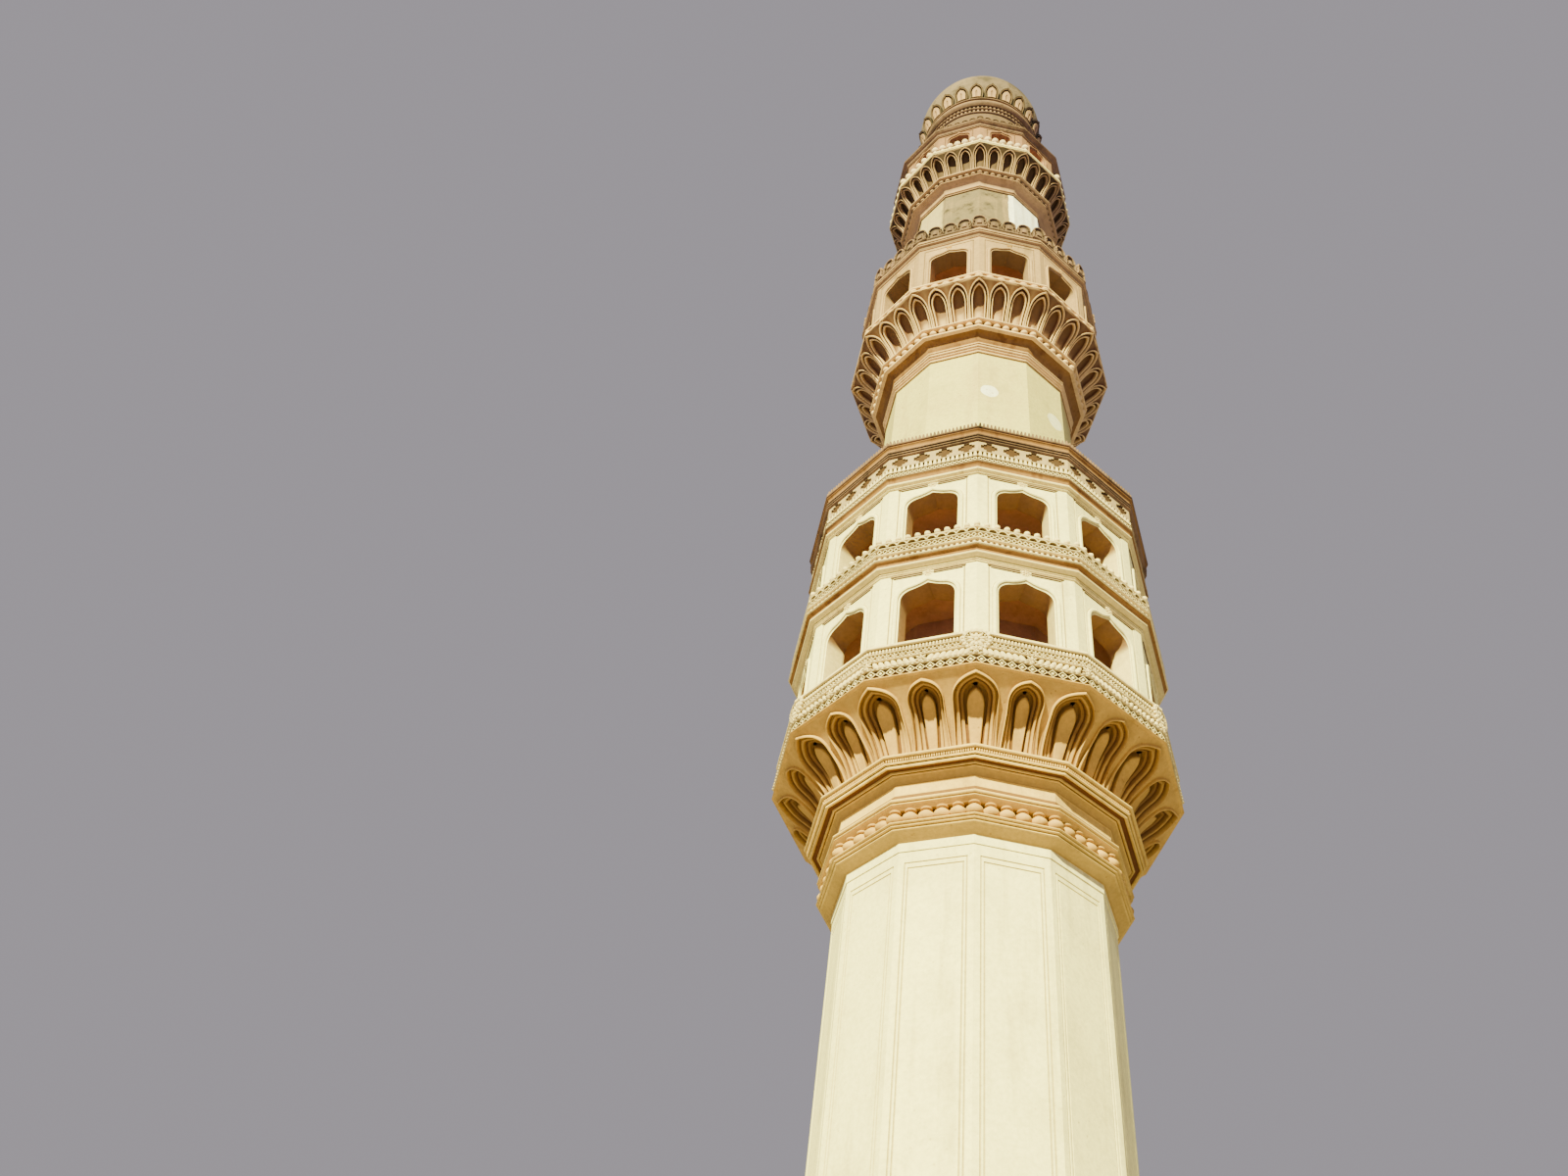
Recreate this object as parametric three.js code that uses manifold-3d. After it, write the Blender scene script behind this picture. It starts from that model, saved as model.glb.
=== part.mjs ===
// A twelve-sided minaret of brick and lime plaster, built from the ground up at half its real size.
// The stairwell runs up its middle. Three arcaded galleries, a terrace and a domed belvedere open off it.
// Lengths and levels are written in real metres. MM turns them into millimetres of the half-size model.
import * as THREE from "three";
import { mergeVertices } from "three/addons/utils/BufferGeometryUtils.js";
import Module from "manifold-3d";

const wasm = await Module();
wasm.setup();

const SCALE = 1 / 2;
const MM = 1000 * SCALE;
const JOINT = 0.3 / MM; // a bed joint of 0.3 mm in the model, written as a real length

// The plan is a regular twelve-sided figure with a flat side to each axis. Radii go to its corners.
const SIDES = 12;
const SIDE_ANGLE = (2 * Math.PI) / SIDES;
const FLAT = Math.cos(SIDE_ANGLE / 2); // distance to a flat side for a corner radius of 1

// Levels above the ground.
const PLINTH_TOP = 0.6;
const BAND_FOOT = 7.1;
const BAND_TOP = 7.7;
const SHAFT_1_TOP = 14.83;
const BEADS_FOOT = 15.22;
const BEADS_TOP = 15.55;
const CORNICE_1_TOP = 16.36;
const CORBEL_1_TOP = 17.44;
const FLOOR_1 = 17.594;
const PARAPET_1_TOP = 18.247;
const GALLERY_1_TOP = 20.2;
const FLOOR_2 = 20.446;
const PARAPET_2_TOP = 20.9;
const GALLERY_2_TOP = 22.82;
const TERRACE = 23.07;
const TERRACE_BAND_TOP = 23.73;
const TERRACE_TOP = 24.225;
const SHAFT_2_TOP = 28.95;
const CORNICE_2_TOP = 29.845;
const CORBEL_2_TOP = 30.757;
const FLOOR_3 = 30.978;
const GALLERY_3_TOP = 33.05;
const ROOF_3 = 33.42;
const MERLONS_TOP = 34.09;
const SHAFT_3_TOP = 37.9;
const CORNICE_3_TOP = 38.45;
const CORBEL_3_TOP = 39.25;
const FLOOR_4 = 39.42;
const BELVEDERE_TOP = 41.05;
const ROOF_4 = 41.485;
const CRESTING_TOP = 41.8;
const DRUM_TOP = 44.35;
const PETAL_TOP = 45.0;
const DOME_CENTRE = 45.35;
const DOME_TOP = 47.42;
const TOP = 48.7;

// Corner radii of the main walls.
const STAIR = 1.35; // stairwell up to the third gallery
const UPPER_STAIR = 1.05; // stairwell above it
const SHAFT_1_FOOT = 2.46;
const SHAFT_1_HEAD = 2.343;
const SHAFT_2_FOOT = 2.31;
const SHAFT_2_HEAD = 2.196;
const SHAFT_3_FOOT = 1.95;
const SHAFT_3_HEAD = 1.869;
const GALLERY_1_WALL = 3.45;
const GALLERY_2_WALL = 3.4;
const GALLERY_3_WALL = 2.97;
const BELVEDERE_WALL = 2.42;
const LOWER_CORE = 2.15;
const UPPER_CORE = 1.8;
const DRUM = 1.7;
const DOME = 1.93;

const WALL = 0.46; // arcade walls of galleries 1 to 3, from corner to corner
const TERRACE_PARAPET_BACK = 3.24;
const BELVEDERE_THICKNESS = 0.36;
const MERLON_FACE = 3.04; // corner radius of the merlons' face
const MERLON_THICKNESS = 0.2;
const KERB_BACK = 2.47;
const CRESTING_BACK = 2.18;
const CHAMBER = 1.32; // round chamber under the dome
const DOME_SHELL = 0.3;
const DOORWAY = { half: 0.38, spring: 1.55, apex: 1.95 };
const FOOT_DOORWAY = { half: 0.45, spring: 1.75, apex: 2.25 };

// Arches are measured from their cutters' feet, which start a little below the floor in the two open galleries.
const GALLERY_1_ARCH = { half: 0.5, spring: 2.0, apex: 2.4 };
const GALLERY_2_ARCH = { half: 0.5, spring: 1.83, apex: 2.19 };
const GALLERY_3_ARCH = { half: 0.46, spring: 1.08, apex: 1.38 };
const BELVEDERE_ARCH = { half: 0.29, spring: 0.72, apex: 0.98 };

const ROUND = 24; // sides of the drum and dome
const FINIAL_SIDES = 12;
const PETALS = 24;
const PETAL_BACK = 1.68; // radii of the petals' root, behind and in front
const PETAL_FACE = 1.78;
const PETAL_EDGE = 0.08; // thickness at the tip
const PETAL_FLARE = 0.25;
const DOME_CAP = 0.18; // radius of the flat that carries the finial

const LIME_CREAM = { color: 0xe6d6b4, roughness: 0.9 };
const LIME_OCHRE = { color: 0xcfa873, roughness: 0.88 };
const LIME_GREY = { color: 0xb9a98c, roughness: 0.92 };
const GILT_COPPER = { color: 0x9c7a3c, roughness: 0.4, metalness: 0.85 };

const minaret = new THREE.Group();

// Corner radius of the lower shaft, which tapers evenly from the plinth to its head.
function lowerShaftRadius(level) {
  const share = (level - PLINTH_TOP) / (SHAFT_1_TOP - PLINTH_TOP);
  return SHAFT_1_FOOT + (SHAFT_1_HEAD - SHAFT_1_FOOT) * share;
}

// A closed three.js geometry as a manifold solid. Doubled vertices are merged, and an inside-out one is turned.
function solid(geometry) {
  const bare = geometry.clone();
  bare.deleteAttribute("normal");
  bare.deleteAttribute("uv");
  const merged = mergeVertices(bare, 1e-5);
  const corners = merged.index.array;
  const proper = [];
  for (let i = 0; i < corners.length; i += 3) {
    const [a, b, c] = corners.slice(i, i + 3);
    if (a !== b && b !== c && a !== c) proper.push(a, b, c);
  }
  const build = (triangles) =>
    new wasm.Manifold(
      new wasm.Mesh({
        numProp: 3,
        vertProperties: new Float32Array(merged.attributes.position.array),
        triVerts: new Uint32Array(triangles),
      }),
    );
  const made = build(proper);
  return made.volume() > 0 ? made : build(proper.reverse());
}

// Names a finished solid, brings it to model millimetres and adds it to the minaret.
function place(name, finish, shape) {
  const mesh = shape.getMesh();
  const geometry = new THREE.BufferGeometry();
  geometry.setAttribute("position", new THREE.BufferAttribute(new Float32Array(mesh.vertProperties), 3));
  geometry.setIndex(new THREE.BufferAttribute(mesh.triVerts, 1));
  geometry.scale(MM, MM, MM);
  geometry.computeVertexNormals();
  const piece = new THREE.Mesh(geometry, new THREE.MeshStandardMaterial(finish));
  piece.name = name;
  minaret.add(piece);
}

// Turns a profile of [radius, level] points about the tower's axis. Corners lie between the axes.
function turned(profile, sides = SIDES) {
  const points = profile.map(([radius, level]) => new THREE.Vector2(radius, level));
  return new THREE.LatheGeometry(points, sides, Math.PI / sides).rotateX(Math.PI / 2);
}

// A ring with the given outer profile, bottom to top, and a straight bore.
function ring(outline, bore, sides = SIDES) {
  const foot = outline[0][1];
  const head = outline[outline.length - 1][1];
  return solid(turned([...outline, [bore, head], [bore, foot], outline[0]], sides));
}

// The outline of a keel arch that stands on y = 0, drawn as an upright opening.
function archShape({ half, spring, apex }) {
  const shape = new THREE.Shape();
  shape.moveTo(-half, 0);
  shape.lineTo(half, 0);
  shape.lineTo(half, spring);
  shape.quadraticCurveTo(half * 0.96, spring + (apex - spring) * 0.62, 0, apex);
  shape.quadraticCurveTo(-half * 0.96, spring + (apex - spring) * 0.62, -half, spring);
  return shape;
}

// A cutter for an arch in the side that faces angle, from the inner to the outer distance.
function archCutter(arch, angle, level, inner, outer, steps = 4) {
  const block = new THREE.ExtrudeGeometry(archShape(arch), {
    depth: outer - inner,
    bevelEnabled: false,
    curveSegments: steps,
  });
  block.rotateX(Math.PI / 2).rotateZ(Math.PI);
  block.translate(0, inner, level);
  block.rotateZ(angle - Math.PI / 2);
  return solid(block);
}

// A quarter of an arcade wall: three sides of the plan, each with one open arch.
function arcadeQuarter(angle, wall, thickness, foot, top, arch, sill) {
  const ends = [-1.5, -0.5, 0.5, 1.5].map((step) => angle + step * SIDE_ANGLE);
  const corner = (radius, at, trim) => {
    const along = new THREE.Vector2(Math.cos(at), Math.sin(at)).multiplyScalar(radius);
    return along.add(new THREE.Vector2(-Math.sin(at), Math.cos(at)).multiplyScalar(trim));
  };
  const trims = [JOINT / 2, 0, 0, -JOINT / 2];
  const outside = ends.map((at, i) => corner(wall, at, trims[i]));
  const inside = ends.map((at, i) => corner(wall - thickness, at, trims[i]));
  const plan = new THREE.Shape([...outside, ...inside.reverse()]);
  const block = new THREE.ExtrudeGeometry(plan, { depth: top - foot - JOINT, bevelEnabled: false });
  block.translate(0, 0, foot + JOINT);
  let quarter = solid(block);
  const near = (wall - thickness) * FLAT - 0.1;
  const far = wall * FLAT + 0.1;
  for (const step of [-1, 0, 1]) {
    quarter = quarter.subtract(archCutter(arch, angle + step * SIDE_ANGLE, sill, near, far));
  }
  return quarter;
}

const QUARTERS = { front: -Math.PI / 2, right: 0, back: Math.PI / 2, left: Math.PI };

function arcade(name, finish, wall, thickness, foot, top, arch, sill) {
  for (const [side, angle] of Object.entries(QUARTERS)) {
    place(`${name}_${side}`, finish, arcadeQuarter(angle, wall, thickness, foot, top, arch, sill));
  }
}

// A straight or tapering tube of wall, with a doorway on the back side where one is given.
function shaft(foot, top, footRadius, headRadius, bore, doorway, sill = foot) {
  const wall = ring([[footRadius, foot + JOINT], [headRadius, top]], bore);
  if (!doorway) return wall;
  return wall.subtract(archCutter(doorway, Math.PI / 2, sill, bore * FLAT - 0.2, footRadius + 0.1, 3));
}

// How far the plan's edge lies at an angle, for a corner radius of 1.
function sideReach(angle) {
  const offSide = angle - SIDE_ANGLE * Math.round(angle / SIDE_ANGLE);
  return FLAT / Math.cos(offSide);
}

// A flaring corbel carved with upright leaves: each leaf is a bud-shaped hollow that widens upward.
function lotusCorbel(foot, top, footRadius, headRadius, bore, leaves, budSides) {
  const rise = top - foot;
  const flare = headRadius - footRadius;
  const waist = { out: 0.27, up: 0.52 }; // where the corbel's flare steepens, as shares of flare and rise
  const seat = { out: 0.4, up: 0.53, widest: 0.72 }; // where a bud sits, and where its pitch is measured
  const shape = { low: -0.62, wide: 0.2, high: 0.5, half: 0.42, length: 0.86 };
  const outline = [
    [footRadius, foot + JOINT],
    [footRadius + waist.out * flare, foot + waist.up * rise],
    [headRadius, top],
  ];
  const lean = Math.atan2(flare, rise);
  const pitch = (2 * Math.PI * (footRadius + seat.widest * flare)) / leaves;
  const length = Math.hypot(rise, flare) * shape.length;
  const bud = new THREE.LatheGeometry(
    [
      new THREE.Vector2(0, shape.low * length),
      new THREE.Vector2(shape.half * pitch, shape.wide * length),
      new THREE.Vector2(0, shape.high * length),
    ],
    budSides,
  );
  bud.rotateX(Math.PI / 2).rotateY(lean);
  let corbel = ring(outline, bore);
  for (let leaf = 0; leaf < leaves; leaf += 1) {
    const angle = SIDE_ANGLE / 2 + (leaf * 2 * Math.PI) / leaves;
    const distance = (footRadius + seat.out * flare) * sideReach(angle);
    const copy = bud.clone().translate(distance, 0, foot + seat.up * rise).rotateZ(angle);
    corbel = corbel.subtract(solid(copy));
  }
  return corbel;
}

// A row of round-topped merlons on a low kerb. Each side has one merlon fewer than gaps, and two half ones that
// meet their neighbours at the corners of the plan.
function merlonRow(foot, top, radius, thickness, gaps) {
  const kerb = foot + 0.3 * (top - foot);
  const shoulder = foot + 0.62 * (top - foot);
  const side = 2 * radius * Math.sin(SIDE_ANGLE / 2);
  const pitch = side / gaps;
  const crown = 0.2 * pitch; // half widths of a merlon at its top and at its shoulder
  const wide = 0.4 * pitch;
  const comb = new THREE.Shape();
  comb.moveTo(-0.5 * side, foot + JOINT);
  comb.lineTo(0.5 * side, foot + JOINT);
  comb.lineTo(0.5 * side, top);
  for (let index = gaps; index > 0; index -= 1) {
    const right = (index - gaps / 2) * pitch;
    const left = right - pitch;
    comb.lineTo(right - crown, top);
    comb.lineTo(right - wide, shoulder);
    comb.lineTo(right - pitch / 2, kerb);
    comb.lineTo(left + wide, shoulder);
    comb.lineTo(left + crown, top);
  }
  comb.lineTo(-0.5 * side, top);
  const panel = new THREE.ExtrudeGeometry(comb, { depth: thickness, bevelEnabled: false });
  panel.rotateX(Math.PI / 2).rotateZ(Math.PI / 2);
  panel.translate(radius * FLAT - thickness, 0, 0);
  let row = solid(panel);
  for (let index = 1; index < SIDES; index += 1) {
    row = row.add(solid(panel.clone().rotateZ(index * SIDE_ANGLE)));
  }
  return row;
}

// The collar of lotus petals: a flaring ring whose top edge rises to a tip on each petal.
function petalRing() {
  const rises = [0.85, 0.35, 0.85, 1]; // a petal's shoulder, the valley, the next shoulder and its tip
  const steps = rises.length;
  const columns = PETALS * steps;
  const points = [];
  const faces = [];
  for (let column = 0; column < columns; column += 1) {
    const angle = (column * 2 * Math.PI) / columns;
    const rise = rises[column % steps];
    const top = DRUM_TOP + rise * (PETAL_TOP - DRUM_TOP);
    const flare = PETAL_FLARE * rise ** 1.3;
    const loop = [
      [PETAL_BACK, DRUM_TOP + JOINT],
      [PETAL_FACE, DRUM_TOP + JOINT],
      [PETAL_FACE + flare, top],
      [PETAL_FACE - PETAL_EDGE + flare, top],
    ];
    for (const [radius, level] of loop) {
      points.push(radius * Math.cos(angle), radius * Math.sin(angle), level);
    }
    const next = (column + 1) % columns;
    for (let side = 0; side < 4; side += 1) {
      const a = 4 * column + side;
      const b = 4 * column + ((side + 1) % 4);
      const c = 4 * next + side;
      const d = 4 * next + ((side + 1) % 4);
      faces.push(a, c, b, b, c, d);
    }
  }
  const geometry = new THREE.BufferGeometry();
  geometry.setAttribute("position", new THREE.Float32BufferAttribute(points, 3));
  geometry.setIndex(faces);
  return solid(geometry);
}

// The dome's profile: inner shell from its crown to its foot, then the outer shell up to a small flat.
function domeProfile() {
  const drop = DOME_CENTRE - DRUM_TOP;
  const arc = (radius, from, to, count) =>
    Array.from({ length: count + 1 }, (_, i) => from + ((to - from) * i) / count).map((angle) => [
      radius * Math.cos(angle),
      DOME_CENTRE + radius * Math.sin(angle),
    ]);
  const inner = arc(DOME - DOME_SHELL, Math.PI / 2, -Math.asin(drop / (DOME - DOME_SHELL)), 5);
  const outer = arc(DOME, -Math.asin(drop / DOME), Math.PI * 0.43, 8);
  inner[0][0] = 0;
  inner[inner.length - 1][1] = DRUM_TOP + JOINT;
  outer[0][1] = DRUM_TOP + JOINT;
  return [...inner, ...outer, [DOME_CAP, DOME_TOP], [0, DOME_TOP]];
}

// Plinth and lower shaft.
place("plinth", LIME_OCHRE, solid(turned([
  [0, 0],
  [3.05, 0],
  [3.05, 0.25],
  [2.85, 0.25],
  [2.85, 0.48],
  [2.7, PLINTH_TOP],
  [0, PLINTH_TOP],
])));

place("lower_shaft_stage_1", LIME_CREAM, shaft(
  PLINTH_TOP, BAND_FOOT, lowerShaftRadius(PLINTH_TOP), lowerShaftRadius(BAND_FOOT), STAIR, FOOT_DOORWAY,
));

const bandRadius = lowerShaftRadius(BAND_FOOT);
place("lower_band", LIME_OCHRE, ring([
  [bandRadius, BAND_FOOT + JOINT],
  [bandRadius + 0.06, BAND_FOOT + 0.08],
  [bandRadius + 0.15, BAND_FOOT + 0.2],
  [bandRadius + 0.15, BAND_TOP - 0.2],
  [bandRadius + 0.06, BAND_TOP - 0.08],
  [bandRadius, BAND_TOP],
], STAIR));

place("lower_shaft_stage_2", LIME_CREAM, shaft(
  BAND_TOP, SHAFT_1_TOP, lowerShaftRadius(BAND_TOP), SHAFT_1_HEAD, STAIR,
));

// Head of the lower shaft: mouldings, the recess of the bead row and the cornice under the great lotus.
place("bead_course", LIME_OCHRE, ring([
  [2.363, SHAFT_1_TOP + JOINT],
  [2.41, 14.95],
  [2.589, 15.14],
  [2.642, BEADS_FOOT],
  [2.46, BEADS_FOOT + 0.03],
  [2.46, BEADS_TOP - 0.05],
  [2.62, BEADS_TOP],
], STAIR));

place("corbel_1_cornice", LIME_OCHRE, ring([
  [2.62, BEADS_TOP + JOINT],
  [2.685, 15.7],
  [2.551, 15.74],
  [2.551, 16.03],
  [2.778, 16.14],
  [2.91, 16.185],
  [2.966, CORNICE_1_TOP],
], STAIR));

place("lotus_corbel_1", LIME_OCHRE, lotusCorbel(CORNICE_1_TOP, CORBEL_1_TOP, 2.68, 3.607, STAIR, 24, 6));

// First gallery.
place("balcony_1_floor", LIME_OCHRE, ring([
  [3.607, CORBEL_1_TOP + JOINT],
  [3.738, FLOOR_1],
], STAIR));

place("balcony_1_parapet", LIME_CREAM, ring([
  [3.72, FLOOR_1 + JOINT],
  [3.68, FLOOR_1 + 0.1],
  [3.66, PARAPET_1_TOP - 0.1],
  [3.671, PARAPET_1_TOP],
], GALLERY_1_WALL + JOINT));

place("gallery_1_core", LIME_OCHRE, shaft(FLOOR_1, GALLERY_1_TOP, LOWER_CORE, LOWER_CORE, STAIR, DOORWAY));
arcade("gallery_1_arcade", LIME_CREAM, GALLERY_1_WALL, WALL, FLOOR_1, GALLERY_1_TOP, GALLERY_1_ARCH, FLOOR_1 - 0.1);

place("gallery_1_cornice", LIME_OCHRE, ring([
  [3.45, GALLERY_1_TOP + JOINT],
  [3.525, 20.26],
  [3.607, 20.39],
  [3.691, FLOOR_2],
], STAIR));

// Second gallery.
place("gallery_2_parapet", LIME_CREAM, ring([
  [3.66, FLOOR_2 + JOINT],
  [3.64, PARAPET_2_TOP],
], GALLERY_2_WALL + JOINT));

place("gallery_2_core", LIME_OCHRE, shaft(FLOOR_2, GALLERY_2_TOP, LOWER_CORE, LOWER_CORE, STAIR, DOORWAY));
arcade("gallery_2_arcade", LIME_CREAM, GALLERY_2_WALL, WALL, FLOOR_2, GALLERY_2_TOP, GALLERY_2_ARCH, FLOOR_2 - 0.1);

// Terrace over the second gallery.
place("terrace_floor", LIME_OCHRE, ring([
  [3.42, GALLERY_2_TOP + JOINT],
  [3.52, 22.94],
  [3.527, TERRACE],
], STAIR));

place("terrace_parapet", LIME_CREAM, ring([
  [3.527, TERRACE + JOINT],
  [3.515, TERRACE_BAND_TOP],
], TERRACE_PARAPET_BACK));

place("terrace_coping", LIME_OCHRE, ring([
  [3.557, TERRACE_BAND_TOP + JOINT],
  [3.547, 23.93],
  [3.583, 24.07],
  [3.593, TERRACE_TOP],
], TERRACE_PARAPET_BACK));

// Middle shaft and the second lotus.
place("middle_shaft", LIME_CREAM, shaft(TERRACE, SHAFT_2_TOP, SHAFT_2_FOOT, SHAFT_2_HEAD, STAIR, DOORWAY));

place("middle_shaft_cornice", LIME_OCHRE, ring([
  [2.196, SHAFT_2_TOP + JOINT],
  [2.21, 29.2],
  [2.269, 29.31],
  [2.36, 29.48],
  [2.542, 29.6],
  [2.643, CORNICE_2_TOP],
], STAIR));

place("lotus_corbel_2", LIME_OCHRE, lotusCorbel(CORNICE_2_TOP, CORBEL_2_TOP, 2.5, 3.177, STAIR, 36, 4));

// Third gallery.
place("balcony_2_floor", LIME_OCHRE, ring([
  [3.177, CORBEL_2_TOP + JOINT],
  [3.182, FLOOR_3],
], STAIR));

place("gallery_3_core", LIME_OCHRE, shaft(FLOOR_3, GALLERY_3_TOP, UPPER_CORE, UPPER_CORE, UPPER_STAIR, DOORWAY));
arcade("gallery_3_arcade", LIME_CREAM, GALLERY_3_WALL, WALL, FLOOR_3, GALLERY_3_TOP, GALLERY_3_ARCH, FLOOR_3 + 0.32);

place("gallery_3_cornice", LIME_OCHRE, ring([
  [2.97, GALLERY_3_TOP + JOINT],
  [3.03, 33.27],
  [3.06, 33.34],
  [3.05, ROOF_3],
], UPPER_STAIR));

place("gallery_3_merlons", LIME_GREY, merlonRow(ROOF_3, MERLONS_TOP, MERLON_FACE, MERLON_THICKNESS, 4));

// Upper shaft and the third lotus.
place("upper_shaft", LIME_CREAM, shaft(ROOF_3, SHAFT_3_TOP, SHAFT_3_FOOT, SHAFT_3_HEAD, UPPER_STAIR));

place("upper_shaft_cornice", LIME_OCHRE, ring([
  [1.869, SHAFT_3_TOP + JOINT],
  [1.98, 38.16],
  [2.145, 38.3],
  [2.28, CORNICE_3_TOP],
], UPPER_STAIR));

place("lotus_corbel_3", LIME_GREY, lotusCorbel(CORNICE_3_TOP, CORBEL_3_TOP, 2.18, 2.627, UPPER_STAIR, 36, 4));

// Belvedere.
place("balcony_3_floor", LIME_OCHRE, ring([
  [2.627, CORBEL_3_TOP + JOINT],
  [2.64, FLOOR_4],
], UPPER_STAIR));

place("balcony_3_kerb", LIME_CREAM, ring([
  [2.6, FLOOR_4 + JOINT],
  [2.6, FLOOR_4 + 0.16],
], KERB_BACK));

arcade(
  "belvedere_arcade", LIME_GREY, BELVEDERE_WALL, BELVEDERE_THICKNESS,
  FLOOR_4, BELVEDERE_TOP, BELVEDERE_ARCH, FLOOR_4 + 0.2,
);

// The belvedere's cornice is a slab with a hood that hangs down round the head of the arcade.
place("belvedere_cornice", LIME_GREY, solid(turned([
  [CHAMBER, BELVEDERE_TOP + JOINT],
  [BELVEDERE_WALL + JOINT, BELVEDERE_TOP + JOINT],
  [BELVEDERE_WALL + JOINT, 40.72],
  [2.57, 40.9],
  [2.57, 41.0],
  [2.4, 41.15],
  [2.365, ROOF_4],
  [CHAMBER, ROOF_4],
  [CHAMBER, BELVEDERE_TOP + JOINT],
])));

place("belvedere_cresting", LIME_GREY, ring([
  [2.33, ROOF_4 + JOINT],
  [2.31, CRESTING_TOP],
], CRESTING_BACK));

// Round drum, lotus petals, dome and finial.
place("dome_drum", LIME_GREY, ring([
  [DRUM, ROOF_4 + JOINT],
  [DRUM, 43.45],
  [1.76, 43.5],
  [1.72, 43.56],
  [1.72, 44.02],
  [1.8, 44.1],
  [1.8, 44.2],
  [1.73, 44.24],
  [1.8, DRUM_TOP],
], CHAMBER, ROUND));

place("dome_petals", LIME_GREY, petalRing());
place("dome", LIME_GREY, solid(turned(domeProfile(), ROUND)));

place("finial", GILT_COPPER, solid(turned([
  [0, DOME_TOP + JOINT],
  [0.17, DOME_TOP + JOINT],
  [0.24, 47.46],
  [0.08, 47.58],
  [0.2, 47.78],
  [0.07, 47.96],
  [0.13, 48.08],
  [0.05, 48.22],
  [0, TOP],
], FINIAL_SIDES)));

export default minaret;
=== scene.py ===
# %% [markdown]
# # Dressing a twelve-sided minaret in carved lime plaster
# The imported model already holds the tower's true form: shafts, galleries, corbels and a dome, at half real size.
# This notebook carves the plaster on it. Each cell first says what a piece is on a real tower, and then makes it.
# Nearly all of the carving is numpy: a surface is an array of points, worked out by one formula, never by a loop
# over vertices. All sizes are real metres. One number, SCALE, brings the finished points to model metres.

# %% The frame
import math

import bmesh
import bpy
import numpy as np
from mathutils import Matrix, Vector


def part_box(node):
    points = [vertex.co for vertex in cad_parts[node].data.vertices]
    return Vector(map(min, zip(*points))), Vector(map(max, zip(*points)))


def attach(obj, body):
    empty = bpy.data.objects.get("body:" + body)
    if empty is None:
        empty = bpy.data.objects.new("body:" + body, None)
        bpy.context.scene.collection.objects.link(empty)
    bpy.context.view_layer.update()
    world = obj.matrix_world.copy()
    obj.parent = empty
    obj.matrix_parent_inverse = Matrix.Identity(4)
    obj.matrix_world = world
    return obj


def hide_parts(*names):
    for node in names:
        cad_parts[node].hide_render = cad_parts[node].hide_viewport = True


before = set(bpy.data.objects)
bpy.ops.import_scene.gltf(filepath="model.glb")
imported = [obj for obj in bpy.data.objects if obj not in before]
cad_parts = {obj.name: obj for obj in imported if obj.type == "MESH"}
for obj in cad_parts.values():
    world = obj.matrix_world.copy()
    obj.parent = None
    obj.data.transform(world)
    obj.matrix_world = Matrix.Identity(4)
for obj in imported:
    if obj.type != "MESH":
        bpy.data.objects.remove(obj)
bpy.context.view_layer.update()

# %% [markdown]
# ## The plan
# A regular twelve-sided figure with a flat side towards each axis. Radii are given to its corners, as a mason
# would strike them with a cord. The levels of each course come from the solids that are already there.

# %% The plan and the levels
SCALE = 0.5
SIDES = 12
TURN = 2 * math.pi / SIDES
FLAT = math.cos(TURN / 2)
HALF_SIDE = math.sin(TURN / 2)
FACING = TURN * np.arange(SIDES)
WELD = 5e-5
QUARTERS = ("front", "right", "back", "left")


def levels(node):
    """Foot and head of a solid, in real metres."""
    low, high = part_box(node)
    return low.z / SCALE, high.z / SCALE


def reach(node):
    """Corner radius of a solid where it is widest: its box ends at its flat sides."""
    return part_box(node)[1].x / SCALE / FLAT


def twelve(columns=8):
    """Points round the plan for a corner radius of 1: each side is a straight run from corner to corner."""
    angle = TURN * (np.arange(SIDES) + 0.5)
    corner = np.stack([np.cos(angle), np.sin(angle)], 1)
    share = np.atleast_1d(np.linspace(0, 1, columns, endpoint=False) if np.isscalar(columns) else columns)
    share = share[None, :, None]
    return (corner[:, None] * (1 - share) + np.roll(corner, -1, 0)[:, None] * share).reshape(-1, 2)


def circle(columns=96):
    """Points round a circle of radius 1."""
    angle = 2 * np.pi * np.arange(columns) / columns
    return np.stack([np.cos(angle), np.sin(angle)], 1)


def side_reach(angle):
    """How far the plan's edge lies at an angle, for a corner radius of 1: the flat distance over the cosine."""
    return FLAT / np.cos(angle - TURN * np.round(angle / TURN))


print(f"one side of the widest balcony is {2 * reach('balcony_1_floor') * HALF_SIDE:.2f} m long")

# %% [markdown]
# ## Sheets, and how a piece is finished
# A shape here is three arrays: points, four-cornered faces, and a dark share for each point. The finish darkens the
# plaster by it later: the share paints the shade in quirks, recesses and under overhangs, and partly brown dust in
# hollows.
# Shapes overlap or touch freely. When a piece is done its doubled points are welded and its faces turned outwards.

# %% Sheets
def sheet(points, shade_and_dust=0.0, around=False, closed=False):
    """Faces over an array of points (rows, columns, 3). It may close along its columns, and its last row on its first."""
    rows, columns = points.shape[:2]
    index = np.arange(rows * columns).reshape(rows, columns)
    index = np.hstack([index, index[:, :1]]) if around else index
    index = np.vstack([index, index[:1]]) if closed else index
    quads = np.stack([index[:-1, :-1], index[:-1, 1:], index[1:, 1:], index[1:, :-1]], -1).reshape(-1, 4)
    return points.reshape(-1, 3), quads, np.broadcast_to(shade_and_dust, (rows, columns)).reshape(-1)


def stamped(points, quads, shade_and_dust):
    """Many copies of one sheet: points is (copies, points, 3), and each copy's faces start after the last one's."""
    copies, count = points.shape[:2]
    starts = (np.arange(copies) * count)[:, None, None]
    return points.reshape(-1, 3), (quads[None] + starts).reshape(-1, 4), np.tile(shade_and_dust, copies)


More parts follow.
